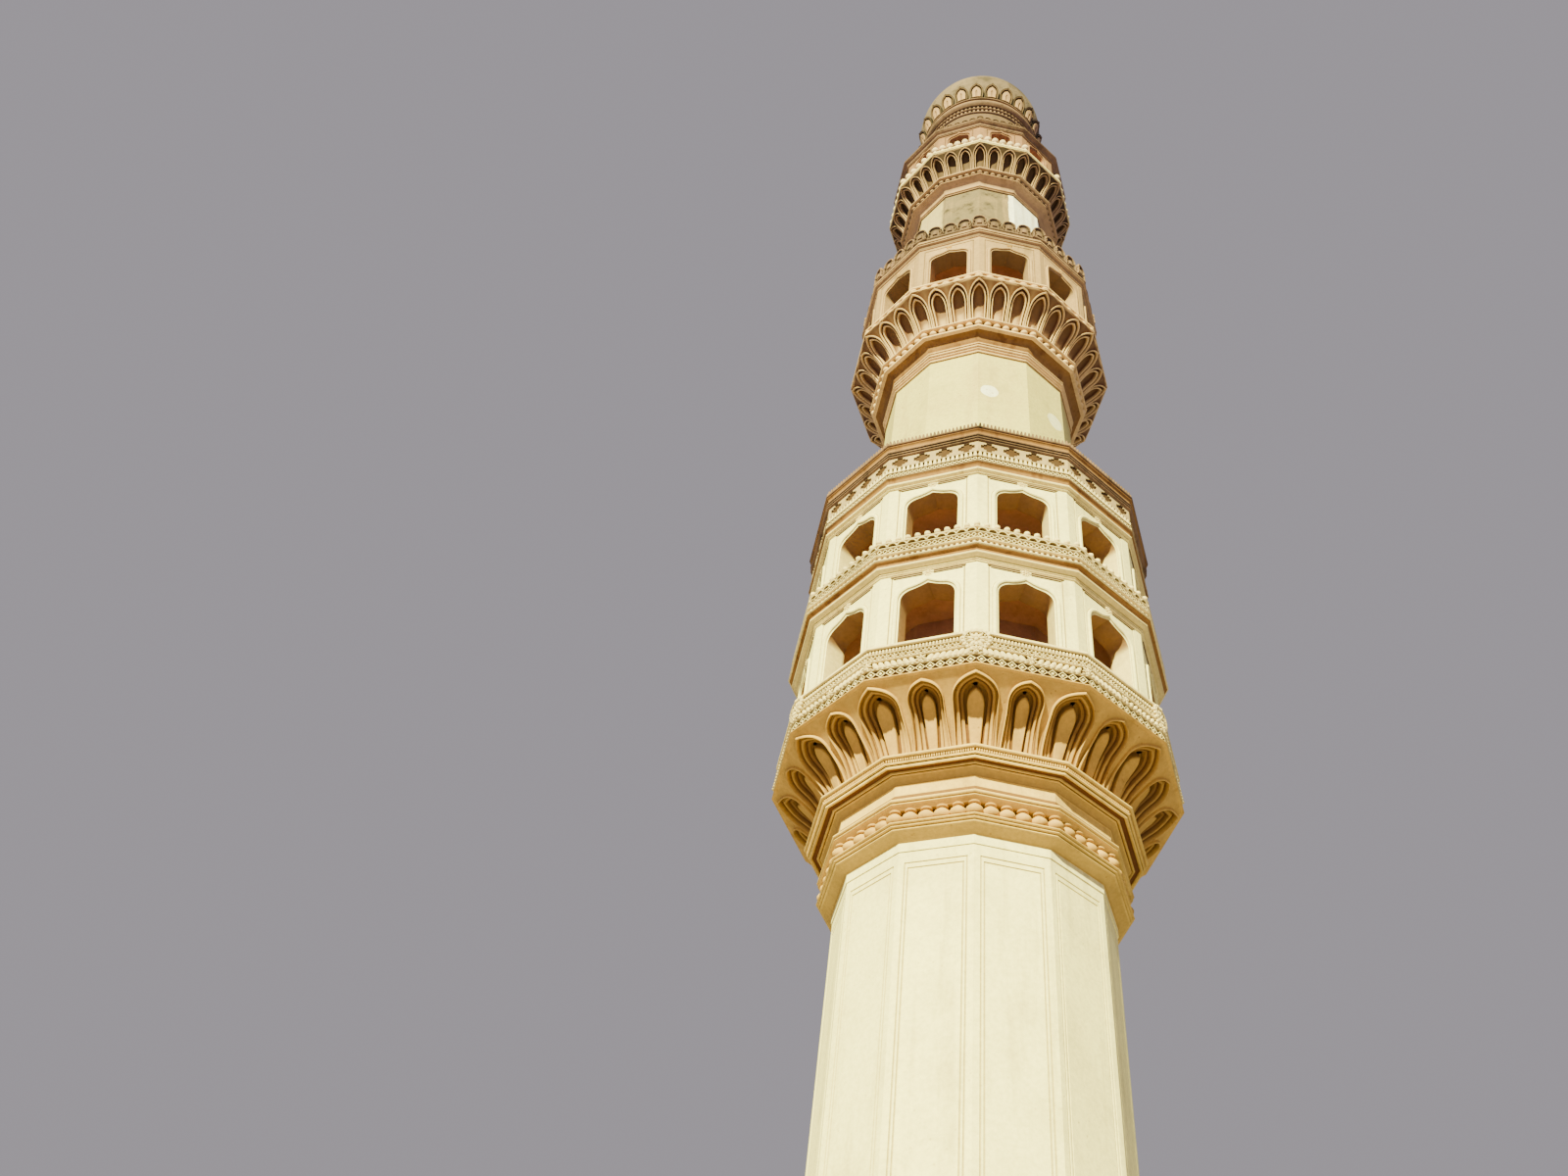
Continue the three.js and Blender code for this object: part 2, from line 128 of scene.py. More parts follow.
def joined(*shapes):
    """Several shapes as one."""
    starts = np.cumsum([0] + [len(points) for points, _, _ in shapes[:-1]])
    return (
        np.concatenate([points for points, _, _ in shapes]),
        np.concatenate([quads + start for (_, quads, _), start in zip(shapes, starts)]),
        np.concatenate([shade_and_dust for _, _, shade_and_dust in shapes]),
    )


made = []


def add(name, shape, finish, *stands_for, crease=26):
    """Makes a piece from a shape, gives it a finish and says which solids it stands for."""
    points, quads, shade_and_dust = shape
    mesh = bpy.data.meshes.new(name)
    mesh.vertices.add(len(points))
    mesh.vertices.foreach_set("co", (points * SCALE).astype(np.float32).ravel())
    mesh.loops.add(quads.size)
    mesh.loops.foreach_set("vertex_index", quads.astype(np.int32).ravel())
    mesh.polygons.add(len(quads))
    mesh.polygons.foreach_set("loop_start", 4 * np.arange(len(quads), dtype=np.int32))
    mesh.update(calc_edges=True)
    # Each point's dark share goes on the mesh for the finish: painted shade in recesses and under overhangs, and partly
    # dust.
    depth = mesh.attributes.new("shade_and_dust", "FLOAT", "POINT")
    depth.data.foreach_set("value", shade_and_dust.astype(np.float32))
    work = bmesh.new()
    work.from_mesh(mesh)
    bmesh.ops.remove_doubles(work, verts=work.verts, dist=WELD)
    bmesh.ops.recalc_face_normals(work, faces=work.faces)
    work.to_mesh(mesh)
    work.free()
    mesh.shade_smooth()
    mesh.set_sharp_from_angle(angle=math.radians(crease))
    piece = bpy.data.objects.new(name, mesh)
    bpy.context.scene.collection.objects.link(piece)
    piece.data.materials.append(finish)
    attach(piece, "root")
    if stands_for:
        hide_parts(*stands_for)
    made.append((name, len(mesh.loops) - 2 * len(mesh.polygons)))
    return piece


# %% [markdown]
# ## Run mouldings
# A plasterer runs a moulding by dragging a cut template along the wall. Here the template is a list of (radius, level)
# points. A third number bulges the stretch that arrives at a point, outwards for a roll and inwards for a hollow, and a
# fourth is how dark it is painted, for dirt and for the shade in quirks and under soffits. The same template goes round
# the plan or round a circle.

# %% Mouldings
def template(points, steps=6):
    """Profile points as rows of radius, level and dark share, which paints dirt and shade. A bulged stretch is a
    parabola: along the chord, plus bulge x chord x 4t(1 - t) across it."""
    run = [np.array((*points[0], 0, 0, 0)[:2] + (0.0,))]
    for radius, level, bulge, dirt_and_shade in [(*point, 0, 0)[:4] for point in points[1:]]:
        share = np.linspace(0, 1, steps + 1 if bulge else 2)[1:, None]
        chord = np.array([radius, level]) - run[-1][:2]
        across = np.array([chord[1], -chord[0]])
        stretch = run[-1][:2] + chord * share + across * bulge * 4 * share * (1 - share)
        run.extend(np.column_stack([stretch, np.full(len(share), float(dirt_and_shade))]))
    return np.array(run)


def ring(outline, radius, level, bore=None, shade_and_dust=0.0):
    """Rows of (radius, level) carried round an outline. With a bore, the ring closes on itself behind its face."""
    radius, level, shade_and_dust, _ = np.broadcast_arrays(radius, level, shade_and_dust, np.empty((1, len(outline))))
    if bore is not None:
        radius = np.vstack([radius, np.full((2, len(outline)), bore)])
        level = np.vstack([level, level[-1:], level[:1]])
        shade_and_dust = np.vstack([shade_and_dust, shade_and_dust[:2] * 0])
    points = np.stack([radius * outline[:, 0], radius * outline[:, 1], level], -1)
    return sheet(points, shade_and_dust, around=True, closed=bore is not None)


def sunk(run, near=0.06, full=0.02):
    """How deep in a quirk each profile point lies: below the lower of the highest lips a little way to either side."""
    order = np.arange(len(run))
    close = np.linalg.norm(run[:, None, :2] - run[None, :, :2], axis=2) <= near
    sides = (order[None] >= order[:, None], order[None] <= order[:, None])
    lips = [np.where(close & side, run[None, :, 0], 0).max(1) for side in sides]
    return np.clip((np.minimum(*lips) - run[:, 0]) / full, 0, 1)


def moulding(points, bore=None, outline=None, face=0.0):
    """A template run round the plan. Its quirks, and where it is set back from the face, are painted dark as their
    shade, on top of the dark shares in its template.
    """
    run = template(points)
    dirt_and_shade = np.maximum.reduce([run[:, 2], sunk(run), np.clip((face - run[:, 0]) / 0.04, 0, 1)])
    return ring(twelve(6) if outline is None else outline, run[:, :1], run[:, 1:2], bore, dirt_and_shade[:, None])


# %% [markdown]
# ## Small repeated work
# Beads, pearls, teeth and flowers were cast or shaped one by one and pressed on. Each is one small form.
# Its copies are placed all at once by broadcasting: along the side, out from it, and up.

# %% Seats and small forms
def on_sides(shares, radius, level):
    """Seats on every side at shares of its length. A share of 0 is the corner, where the seat faces outwards."""
    shares = np.atleast_1d(shares)
    spot = radius * twelve(shares)
    facing = np.where(shares == 0, TURN / 2, TURN) + FACING[:, None]
    return np.column_stack([spot, np.full(len(spot), level)]), facing.reshape(-1)


def on_circle(count, radius, level, shift=0.0):
    """Seats evenly round a circle."""
    facing = 2 * np.pi * (np.arange(count) + shift) / count
    return np.stack([radius * np.cos(facing), radius * np.sin(facing), np.full(count, level)], 1), facing


def placed(shape, seats):
    """Copies of a small form, whose x runs along the wall, y out of it and z up."""
    spot, facing = seats
    points, quads, shade_and_dust = shape
    along = np.stack([-np.sin(facing), np.cos(facing), 0 * facing], 1)
    out = np.stack([np.cos(facing), np.sin(facing), 0 * facing], 1)
    x, y, z = points[None, :, 0:1], points[None, :, 1:2], points[None, :, 2:3]
    up = np.array([0, 0, 1])
    return stamped(spot[:, None] + x * along[:, None] + y * out[:, None] + z * up, quads, shade_and_dust)


def spun(points, columns=10, steps=4):
    """A template turned about its own upright axis."""
    radius, level, dirt_and_shade = template(points, steps).T[:, :, None]
    return ring(circle(columns), radius, level, None, dirt_and_shade)


def egg(width, depth, height, columns=10, rows=6):
    """An egg about its centre: latitude rings of a sphere, stretched to half sizes."""
    latitude = np.linspace(-np.pi / 2, np.pi / 2, rows + 1)[:, None]
    longitude = 2 * np.pi * np.arange(columns)[None] / columns
    x = width * np.cos(latitude) * np.cos(longitude)
    y = depth * np.cos(latitude) * np.sin(longitude)
    return sheet(np.stack([x, y, height * np.sin(latitude) + 0 * x], -1), around=True)


def block(width, depth, height, taper=1.0):
    """A small block that stands on its foot, with its head as much narrower as the taper says."""
    loop = np.array([[-1, -1], [1, -1], [1, 1], [-1, 1]]) / 2
    rows = [(0, 0.0), (1, 0.0), (taper, 1.0), (0, 1.0)]
    points = [[(x * width * k, y * depth, height * up) if k else (0, 0, height * up) for x, y in loop]
              for k, up in rows]
    return sheet(np.array(points), around=True)


def fanned(shape, count, radius, start=0.0, sweep=2 * np.pi):
    """Copies of a small form turned in the wall's own plane, about the y axis, and pushed out to a radius."""
    points, quads, shade_and_dust = shape
    angle = start + sweep * np.arange(count) / count
    c, s = np.cos(angle)[:, None], np.sin(angle)[:, None]
    x, y, z = points[None, :, 0], points[None, :, 1], points[None, :, 2] + radius
    return stamped(np.stack([x * c + z * s, y + 0 * c, z * c - x * s], -1), quads, shade_and_dust)


def lozenge(width, height, rows=((1, 0, 1), (1, 0.03, 0.5), (0.96, 0.035, 0), (0.7, 0.035, 0), (0.66, 0.01, 1))):
    """A raised diamond: nested outlines, each a share of its half sizes, how far it stands out, and how dark it is
    painted, as dirt and as the shade at its foot.
    """
    loop = np.array([[1, 0], [0, 1], [-1, 0], [0, -1]])
    share, out, dirt_and_shade = np.array(rows, float).T[:, :, None]
    x = share * width * loop[:, 0]
    return sheet(np.stack([x, out + 0 * x, share * height * loop[:, 1]], -1), dirt_and_shade, around=True)


def hoop(radius, width, depth, sweep=math.pi, steps=8):
    """An arc of square section in the wall's own plane, which starts level with its centre; its inner side is painted
    dark as its shade.
    """
    angle = sweep * np.linspace(0, 1, steps + 1)[:, None]
    across, out = np.array([[-0.5, 0.5, 0.5, -0.5], [0, 0, 1, 1]])
    r = radius + width * across
    dirt_and_shade = np.array([1, 0, 0, 0.6]) + 0 * angle
    return sheet(np.stack([r * np.cos(angle), depth * out + 0 * angle, r * np.sin(angle)], -1), dirt_and_shade, around=True)


def flower(radius, petals=8, depth=0.3):
    """A round boss: an inner button, a ring of petals and a rim of beads."""
    return joined(
        egg(0.22 * radius, depth * radius * 1.2, 0.22 * radius),
        fanned(egg(0.17 * radius, depth * radius * 0.8, 0.3 * radius, 8, 6), petals, 0.55 * radius),
        fanned(egg(0.11 * radius, depth * radius * 0.55, 0.11 * radius, 6, 4), 2 * petals, 0.92 * radius),
    )


def clump(size):
    """A clump of curling leaves: a fan of long lobes over a smaller fan, with a button at the root."""
    return joined(
        fanned(egg(0.13 * size, 0.16 * size, 0.34 * size, 8, 6), 7, 0.55 * size),
        fanned(egg(0.12 * size, 0.24 * size, 0.22 * size, 8, 6), 5, 0.3 * size, 0.4),
        egg(0.17 * size, 0.36 * size, 0.17 * size),
    )


# %% [markdown]
# ## Openings and panels
# An arch, its frame and the wall round it are nested outlines: the wall's own rectangle, a groove, rolls, and at
# last the opening. If each outline has the same number of points, in the same order, the wall is a plain grid
# between them. Each layer also says how far it stands out of the wall's face, and how far through the wall it is.

# %% Nested outlines
RISE_STEPS, HAUNCH_STEPS, CROWN_STEPS = 6, 12, 6
HEAD = slice(RISE_STEPS + HAUNCH_STEPS, RISE_STEPS + HAUNCH_STEPS + 2 * CROWN_STEPS + 1)
COUNT = 2 * (RISE_STEPS + HAUNCH_STEPS + CROWN_STEPS)
ARCH_HEAD, LEAF_HEAD, SMALL_HEAD, PETAL_HEAD = (0.5, 0.35, 0.03), (0.74, 0.84, 0.0), (0.78, 0.86, 0.0), (0.55, 0.6, 0.04)


def mirrored(x, y):
    """A whole closed outline from its left half, which runs from the foot up to the middle of the head."""
    foot = np.linspace(1, -1, 2 * CROWN_STEPS + 1)[1:-1] * -x[0]
    x = np.concatenate([x, -x[-2::-1], foot])
    y = np.concatenate([y, y[-2::-1], np.full(foot.shape, y[0])])
    return np.stack([x, y], 1)


def keel(half, foot, spring, apex, foot_half=None, head=ARCH_HEAD):
    """A keel arch: legs, a haunch that bends round a corner, and a slope that sags to the tip. The head is the
    corner's share of the rise, the share of the slope that the haunch takes up, and the sag."""
    corner, bend, sag = head
    foot_half = half if foot_half is None else foot_half
    up = np.linspace(0, 1, RISE_STEPS, endpoint=False)
    t = np.linspace(0, 1, HAUNCH_STEPS, endpoint=False)
    s = np.linspace(0, 1, CROWN_STEPS + 1)
    shoulder = corner + (1 - corner) * bend
    x = np.concatenate([foot_half + (half - foot_half) * up, half * (1 - bend * t**2), half * (1 - bend) * (1 - s)])
    haunch = 2 * t * (1 - t) * corner + t**2 * shoulder
    slope = shoulder + (1 - shoulder) * s - 4 * sag * s * (1 - s)
    return mirrored(-x, np.concatenate([foot + (spring - foot) * up, spring + (apex - spring) * np.append(haunch, slope)]))


def oblong(half, foot, top, shoulder=0.6):
    """A rectangle with the same count of points as an arch, and its corners where the arch turns in."""
    middle = foot + shoulder * (top - foot)
    x = np.concatenate([np.full(RISE_STEPS + HAUNCH_STEPS, -half), np.linspace(-half, 0, CROWN_STEPS + 1)])
    y = np.concatenate([
        np.linspace(foot, middle, RISE_STEPS, endpoint=False),
        np.linspace(middle, top, HAUNCH_STEPS, endpoint=False),
        np.full(CROWN_STEPS + 1, top),
    ])
    return mirrored(x, y)


def head_and_foot(loop):
    """The runs of points along the head and the foot of an outline, both from left to right."""
    foot = np.concatenate([loop[..., :1, :], loop[..., : COUNT - 1 : -1, :]], -2)
    return loop[..., HEAD, :], foot


def to_bore(points, bore, level=None):
    """The points slid in towards the axis until they meet a twelve-sided bore."""
    angle = np.arctan2(points[..., 1], points[..., 0])
    radius = bore * side_reach(angle)
    level = points[..., 2] if level is None else np.full(angle.shape, level)
    return np.stack([radius * np.cos(angle), radius * np.sin(angle), level], -1)


def band(rows):
    """A strip over rows of points, repeated for every cell: each row is (cells, points, 3)."""
    points = np.stack(rows, 1)
    cells, count, width = points.shape[:3]
    _, quads, shade_and_dust = sheet(points[0])
    return stamped(points.reshape(cells, count * width, 3), quads, shade_and_dust)


def carved(points, shade_and_dust):
    """The face of carved cells: points are (cells, layers, points, 3), and the dark share, painted shade and dust, has
    a value for each layer.
    """
    count, layers, width = points.shape[:3]
    _, quads, shade_and_dust = sheet(points[0], shade_and_dust, around=True)
    return stamped(points.reshape(count, layers * width, 3), quads, shade_and_dust)


def ends(points):
    """The top and the underside of a wall, from its first layer to its last."""
    (head, foot), (far_head, far_foot) = head_and_foot(points[:, 0]), head_and_foot(points[:, -1])
    return joined(band([head, far_head]), band([far_foot, foot]))


def cells(points, shade_and_dust, bore=None):
    """A wall of carved cells. Without a bore, the last layer is the wall's other face."""
    if bore is None:
        return joined(carved(points, shade_and_dust), ends(points))
    head, foot = head_and_foot(points[:, 0])
    back = [head, to_bore(head, bore, head[0, 0, 2]), to_bore(foot, bore, foot[0, 0, 2]), foot]
    return joined(carved(points, shade_and_dust), band(back))


def flat_cells(layers, face, facing):
    """Points and dark shares of carved cells on flat sides. Each layer is (outline, out, through, dark share): out of
    the face, the share through the wall to a second face, and how dark it is painted, for dirt and for shade. Layers
    sunk below the face are painted darker as their shade. face gives both corner radii, as values or as functions of
    the level. Outlines are drawn for the wall's foot, and narrow with it where it tapers."""
    outline = np.stack([layer[0] for layer in layers])
    out, through, dirt_and_shade = np.array([(*layer[1:], 0)[:3] for layer in layers], float).T[:, :, None]
    x, y = outline[..., 0], outline[..., 1]
    near, far = [side(y) if callable(side) else side + 0 * y for side in face]
    x = x * (near / near.max()) ** (1 - through)
    distance = (near * (1 - through) + far * through) * FLAT + out
    c, s = np.cos(facing)[:, None, None], np.sin(facing)[:, None, None]
    points = np.stack([distance * c - x * s, distance * s + x * c, y + 0 * c], -1)
    return points, np.maximum(np.clip(-out / 0.2, 0, 1), dirt_and_shade)


print(f"an outline has {len(oblong(1, 0, 1))} points")

# %% [markdown]
# ## Weathered lime
# All of the tower is lime plaster over brick, and it weathers in the same few ways: blotches of damp, runs of dirt down
# the face, dark growth where rain lies, and pits. These belong to one node group with an amount for each, so every
# finish can take its own share. The group also paints shade: each point's dark share mixes in the stain colour, as
# brown dust and as the shade in hollows and under overhangs. Patterns are in object coordinates.
# The group gives out a colour, a roughness and a height.

# %% The weathering group
def put(tree, kind, inputs=(), **settings):
    """Adds a node, sets it up, and links or fills its inputs."""
    node = tree.nodes.new(kind)
    for key, value in settings.items():
        setattr(node, key, value)
    for key, value in dict(inputs).items():
        if isinstance(value, bpy.types.NodeSocket):
            tree.links.new(value, node.inputs[key])
        else:
            node.inputs[key].default_value = value
    return node


def ramp(tree, value, low, high, to_low=0.0, to_high=1.0):
    """Spreads a value between two limits, smoothly, and cuts it off outside."""
    node = put(tree, "ShaderNodeMapRange", {"Value": value, 1: low, 2: high, 3: to_low, 4: to_high},
               interpolation_type="SMOOTHSTEP")
    return node.outputs[0]


def maths(tree, operation, a, b):
    """One sum or product of two values."""
    return put(tree, "ShaderNodeMath", {0: a, 1: b}, operation=operation).outputs[0]


def blend(tree, share, a, b, blend_type="MIX"):
    """A mix of two colours."""
    node = put(tree, "ShaderNodeMix", {0: share, 6: a, 7: b}, data_type="RGBA", blend_type=blend_type)
    return node.outputs[2]


def noise(tree, place, scale, detail=4.0, rough=0.55):
    return put(tree, "ShaderNodeTexNoise", {"Vector": place, "Scale": scale, "Detail": detail,
                                            "Roughness": rough}).outputs[0]


def lime_weather():
    """The node group: fresh colour in, weathered colour, roughness and height out."""
    group = bpy.data.node_groups.new("lime_weather", "ShaderNodeTree")
    for name, kind, value in (
        ("Plaster", "NodeSocketColor", (0.79, 0.70, 0.53, 1)),
        ("Stain_and_shade", "NodeSocketColor", (0.42, 0.27, 0.14, 1)),
        ("Growth", "NodeSocketColor", (0.10, 0.085, 0.06, 1)),
        ("Blotches", "NodeSocketFloat", 0.4),
        ("Runs", "NodeSocketFloat", 0.4),
        ("Age", "NodeSocketFloat", 0.3),
        ("Pits", "NodeSocketFloat", 0.4),
    ):
        group.interface.new_socket(name, in_out="INPUT", socket_type=kind).default_value = value
    for name, kind in (("Colour", "NodeSocketColor"), ("Roughness", "NodeSocketFloat"), ("Height", "NodeSocketFloat")):
        group.interface.new_socket(name, in_out="OUTPUT", socket_type=kind)
    given = group.nodes.new("NodeGroupInput").outputs
    place = group.nodes.new("ShaderNodeTexCoord").outputs["Object"]
    stretched = put(group, "ShaderNodeMapping", {"Vector": place, "Scale": (5.0, 5.0, 0.35)}).outputs[0]
    blotch = ramp(group, noise(group, place, 1.3, 7.0, 0.62), 0.46, 0.66)
    run = ramp(group, noise(group, stretched, 1.6, 5.0, 0.6), 0.5, 0.7)
    speckle = noise(group, place, 26.0, 6.0, 0.7)
    pit = put(group, "ShaderNodeTexVoronoi", {"Vector": place, "Scale": 15.0, "Randomness": 1.0}).outputs["Distance"]
    pit = maths(group, "MULTIPLY", ramp(group, pit, 0.2, 0.05), ramp(group, noise(group, place, 2.1), 0.5, 0.62))
    shade_and_dust = put(group, "ShaderNodeAttribute", attribute_name="shade_and_dust").outputs["Fac"]
    facing_up = put(group, "ShaderNodeSeparateXYZ", {0: group.nodes.new("ShaderNodeNewGeometry").outputs["Normal"]})
    lying = ramp(group, facing_up.outputs[2], 0.25, 0.85)
    dark = maths(group, "MULTIPLY", blotch, given["Blotches"])
    dark = maths(group, "ADD", dark, maths(group, "MULTIPLY", run, given["Runs"]))
    # Painted shade and dust: each point's dark share mixes the plaster towards the stain colour.
    dark = maths(group, "MAXIMUM", dark, shade_and_dust)
    dark = put(group, "ShaderNodeMath", {0: dark, 1: 1.0}, operation="MINIMUM").outputs[0]
    colour = blend(group, dark, given["Plaster"], given["Stain_and_shade"])
    crust = maths(group, "ADD", ramp(group, noise(group, place, 3.2, 8.0, 0.7), 0.5, 0.68), maths(group, "MULTIPLY", lying, 0.7))
    crust = maths(group, "MULTIPLY", crust, given["Age"])
    crust = maths(group, "MULTIPLY", crust, ramp(group, speckle, 0.3, 0.62, 0.35, 1.0))
    colour = blend(group, crust, colour, given["Growth"])
    colour = blend(group, maths(group, "MULTIPLY", pit, given["Pits"]), colour, given["Stain_and_shade"])
    shade = ramp(group, speckle, 0.3, 0.7, 0.88, 1.08)
    grey = put(group, "ShaderNodeCombineColor", {0: shade, 1: shade, 2: shade}).outputs[0]
    colour = blend(group, 1.0, colour, grey, "MULTIPLY")
    height = maths(group, "SUBTRACT", maths(group, "MULTIPLY", speckle, 0.5), maths(group, "MULTIPLY", pit, given["Pits"]))
    height = maths(group, "SUBTRACT", height, maths(group, "MULTIPLY", crust, 0.4))
    out = group.nodes.new("NodeGroupOutput").inputs
    group.links.new(colour, out["Colour"])
    group.links.new(ramp(group, crust, 0.0, 1.0, 0.86, 0.97), out["Roughness"])
    group.links.new(height, out["Height"])
    return group


WEATHER = lime_weather()


def lime(name, slot, plaster, stain_and_shade=(0.42, 0.27, 0.14), growth=(0.12, 0.1, 0.07), blotches=0.4, runs=0.4, age=0.3,
         pits=0.4, bump=0.006, repaint=None):
    """A lime plaster finish for one of the record's slots. repaint may lay newer or older plaster over it."""
    material = bpy.data.materials.new(name)
    material["slot"] = slot
    material.use_nodes = True
    tree = material.node_tree
    surface = tree.nodes["Principled BSDF"]
    surface.inputs["Specular IOR Level"].default_value = 0.25
    fresh = (*plaster, 1)
    if repaint:
        fresh, age = repaint(tree, fresh, age)
    weather = put(tree, "ShaderNodeGroup", node_tree=WEATHER)
    for key, value in (("Plaster", fresh), ("Stain_and_shade", (*stain_and_shade, 1)), ("Growth", (*growth, 1)), ("Blotches", blotches),
                       ("Runs", runs), ("Age", age), ("Pits", pits)):
        if isinstance(value, bpy.types.NodeSocket):
            tree.links.new(value, weather.inputs[key])
        else:
            weather.inputs[key].default_value = value
    relief = put(tree, "ShaderNodeBump", {"Height": weather.outputs["Height"], "Strength": 0.7, "Distance": bump})
    tree.links.new(weather.outputs["Colour"], surface.inputs["Base Color"])
    tree.links.new(weather.outputs["Roughness"], surface.inputs["Roughness"])
    tree.links.new(relief.outputs[0], surface.inputs["Normal"])
    return material


CREAM = lime("pale_lime", "lime_cream", (0.92, 0.82, 0.42), stain_and_shade=(0.24, 0.15, 0.075), blotches=0.16, runs=0.2, age=0.1, pits=0.3)
CREAM_3 = lime("mottled_lime", "lime_cream", (0.46, 0.285, 0.155), stain_and_shade=(0.16, 0.10, 0.05), blotches=0.4, runs=0.4, age=0.25)
PALE = lime("cast_lime", "lime_cream", (0.80, 0.64, 0.34), stain_and_shade=(0.08, 0.032, 0.012), blotches=0.2, runs=0.2, age=0.12)
WORN = lime("worn_lime", "lime_cream", (0.42, 0.30, 0.17), stain_and_shade=(0.06, 0.026, 0.01), blotches=0.12, runs=0.15, age=0.2)
OCHRE = lime("ochre_lime", "lime_ochre", (0.72, 0.48, 0.14), stain_and_shade=(0.13, 0.045, 0.015), blotches=0.25, runs=0.2, age=0.2)
BROWN = lime("brown_lime", "lime_brown", (0.29, 0.145, 0.05), stain_and_shade=(0.15, 0.06, 0.02), blotches=0.6, runs=0.8, age=0.15)
CARVED = lime("carved_lime", "lime_ochre", (0.62, 0.37, 0.10), stain_and_shade=(0.12, 0.042, 0.014), blotches=0.15, runs=0.25, age=0.15)
CARVED_2 = lime("small_carved_lime", "lime_ochre", (0.84, 0.56, 0.28), stain_and_shade=(0.10, 0.034, 0.017), blotches=0.15, runs=0.25, age=0.15)
WARM = lime("warm_lime", "lime_cream", (0.86, 0.70, 0.34), stain_and_shade=(0.26, 0.12, 0.045), blotches=0.2, runs=0.35, age=0.1)
CARVED_3 = lime("old_carved_lime", "lime_ochre", (0.50, 0.31, 0.18), stain_and_shade=(0.035, 0.016, 0.008), blotches=0.15, runs=0.25, age=0.2)
# The gallery insides are darker and redder plaster: painted shade of the galleries' insides.
INSIDE = lime("gallery_lime_painted_shade", "lime_ochre", (0.48, 0.24, 0.16), stain_and_shade=(0.3, 0.13, 0.08), blotches=0.5, runs=0.4)
LINING = lime("lining_lime", "lime_ochre", (0.85, 0.68, 0.33), stain_and_shade=(0.2, 0.085, 0.04), blotches=0.15, runs=0.2)
PETAL = lime("petal_lime", "lime_weathered", (0.44, 0.26, 0.155), stain_and_shade=(0.022, 0.013, 0.009), blotches=0.25, runs=0.2, age=0.2)
PEARLY = lime("pearl_lime", "lime_cream", (0.75, 0.56, 0.38), stain_and_shade=(0.2, 0.1, 0.05), blotches=0.1, runs=0.1, age=0.1)
PINK = lime("belvedere_lime", "lime_weathered", (0.30, 0.155, 0.09), stain_and_shade=(0.05, 0.028, 0.018), growth=(0.055, 0.04, 0.028),
            blotches=0.6, runs=0.5, age=0.6, pits=0.6, bump=0.012)
OLD = lime("old_lime", "lime_weathered", (0.24, 0.14, 0.095), stain_and_shade=(0.025, 0.015, 0.010), growth=(0.045, 0.033, 0.024),
           blotches=0.5, runs=0.45, age=0.5, pits=0.6, bump=0.012)
DOMED = lime("dome_lime", "lime_weathered", (0.19, 0.13, 0.10), stain_and_shade=(0.045, 0.03, 0.02), growth=(0.05, 0.037, 0.026),
             blotches=0.8, runs=0.4, age=0.9, pits=0.6, bump=0.015)


def gilt():
    """Dull gilt copper, browner in blotches."""
    material = bpy.data.materials.new("dull_gilt")
    material["slot"] = "finial_metal"
    material.use_nodes = True
    tree = material.node_tree
    place = tree.nodes.new("ShaderNodeTexCoord").outputs["Object"]
    colour = blend(tree, ramp(tree, noise(tree, place, 9.0), 0.4, 0.65), (0.42, 0.30, 0.12, 1), (0.16, 0.11, 0.06, 1))
    surface = tree.nodes["Principled BSDF"]
    surface.inputs["Metallic"].default_value = 0.8
    surface.inputs["Roughness"].default_value = 0.5
    tree.links.new(colour, surface.inputs["Base Color"])
    return material


GILT = gilt()
print(f"{len(bpy.data.materials)} finishes")

# %% [markdown]
# ## Plinth and lower shaft
# The shaft is a plain tapering wall. Its only ornament is a pair of thin sunk lines that frame each side, as the
# edge of the trowel leaves them. Each side is one carved cell: the outline, the sunk lines, and a plain field that
# closes on its middle line. The doorway at the back widens towards the outside.

# %% Plinth and lower shaft
STAIR, UPPER_STAIR, CHAMBER, WALL = 1.35, 1.05, 1.32, 0.46
shaft_foot, shaft_break = levels("lower_shaft_stage_1")
upper_foot, shaft_head = levels("lower_shaft_stage_2")
foot_reach = reach("lower_shaft_stage_1")
taper = (reach("lower_shaft_stage_2") - foot_reach) / (upper_foot - shaft_foot)


def shaft_radius(level):
    """Corner radius of the lower shaft, which tapers evenly."""
    return foot_reach + taper * (level - shaft_foot)


def sunk_frame(half, foot, top, aside, below, width=0.028, depth=0.018):
    """Layers of one thin sunk line that frames a rectangle."""
    # The sunk line is painted darker, as its shade.
    return [
        (oblong(half - aside - share * width, foot + below + share * width, top - below - share * width), out, 0, dirt_and_shade)
        for share, out, dirt_and_shade in ((0, 0, 0), (0.25, -depth, 0.6), (0.75, -depth, 0.6), (1, 0, 0))
    ]


def panelled(foot, top):
    """A framed plain side of the lower shaft."""
    half = shaft_radius(foot) * HALF_SIDE
    layers = [(oblong(half, foot, top), 0, 0)]
    layers += sunk_frame(half, foot, top, 0.1, 0.2) + sunk_frame(half, foot, top, 0.155, 0.3)
    return layers + [(layers[-1][0] * [0, 1], 0, 0)]


def doorway(half, spring, apex):
    """A splayed doorway in a raised rim, through to the stairwell."""
    sill = shaft_foot + 0.02
    layers = [(oblong(shaft_radius(shaft_foot) * HALF_SIDE, shaft_foot, shaft_break, 0.3), 0, 0)]
    for wider, out, through in ((0.1, 0, 0), (0.095, 0.03, 0), (0.06, 0.05, 0), (0.03, 0.03, 0), (0.02, 0, 0),
                                (0, -0.02, 0), (-0.01, 0, 0.1), (-0.03, 0, 0.3), (-0.12, 0, 1)):
        layers.append((keel(half + wider, sill, sill + spring, sill + apex + wider), out, through))
    return layers + [(oblong(STAIR * HALF_SIDE, shaft_foot, shaft_break, 0.3), 0, 1)]


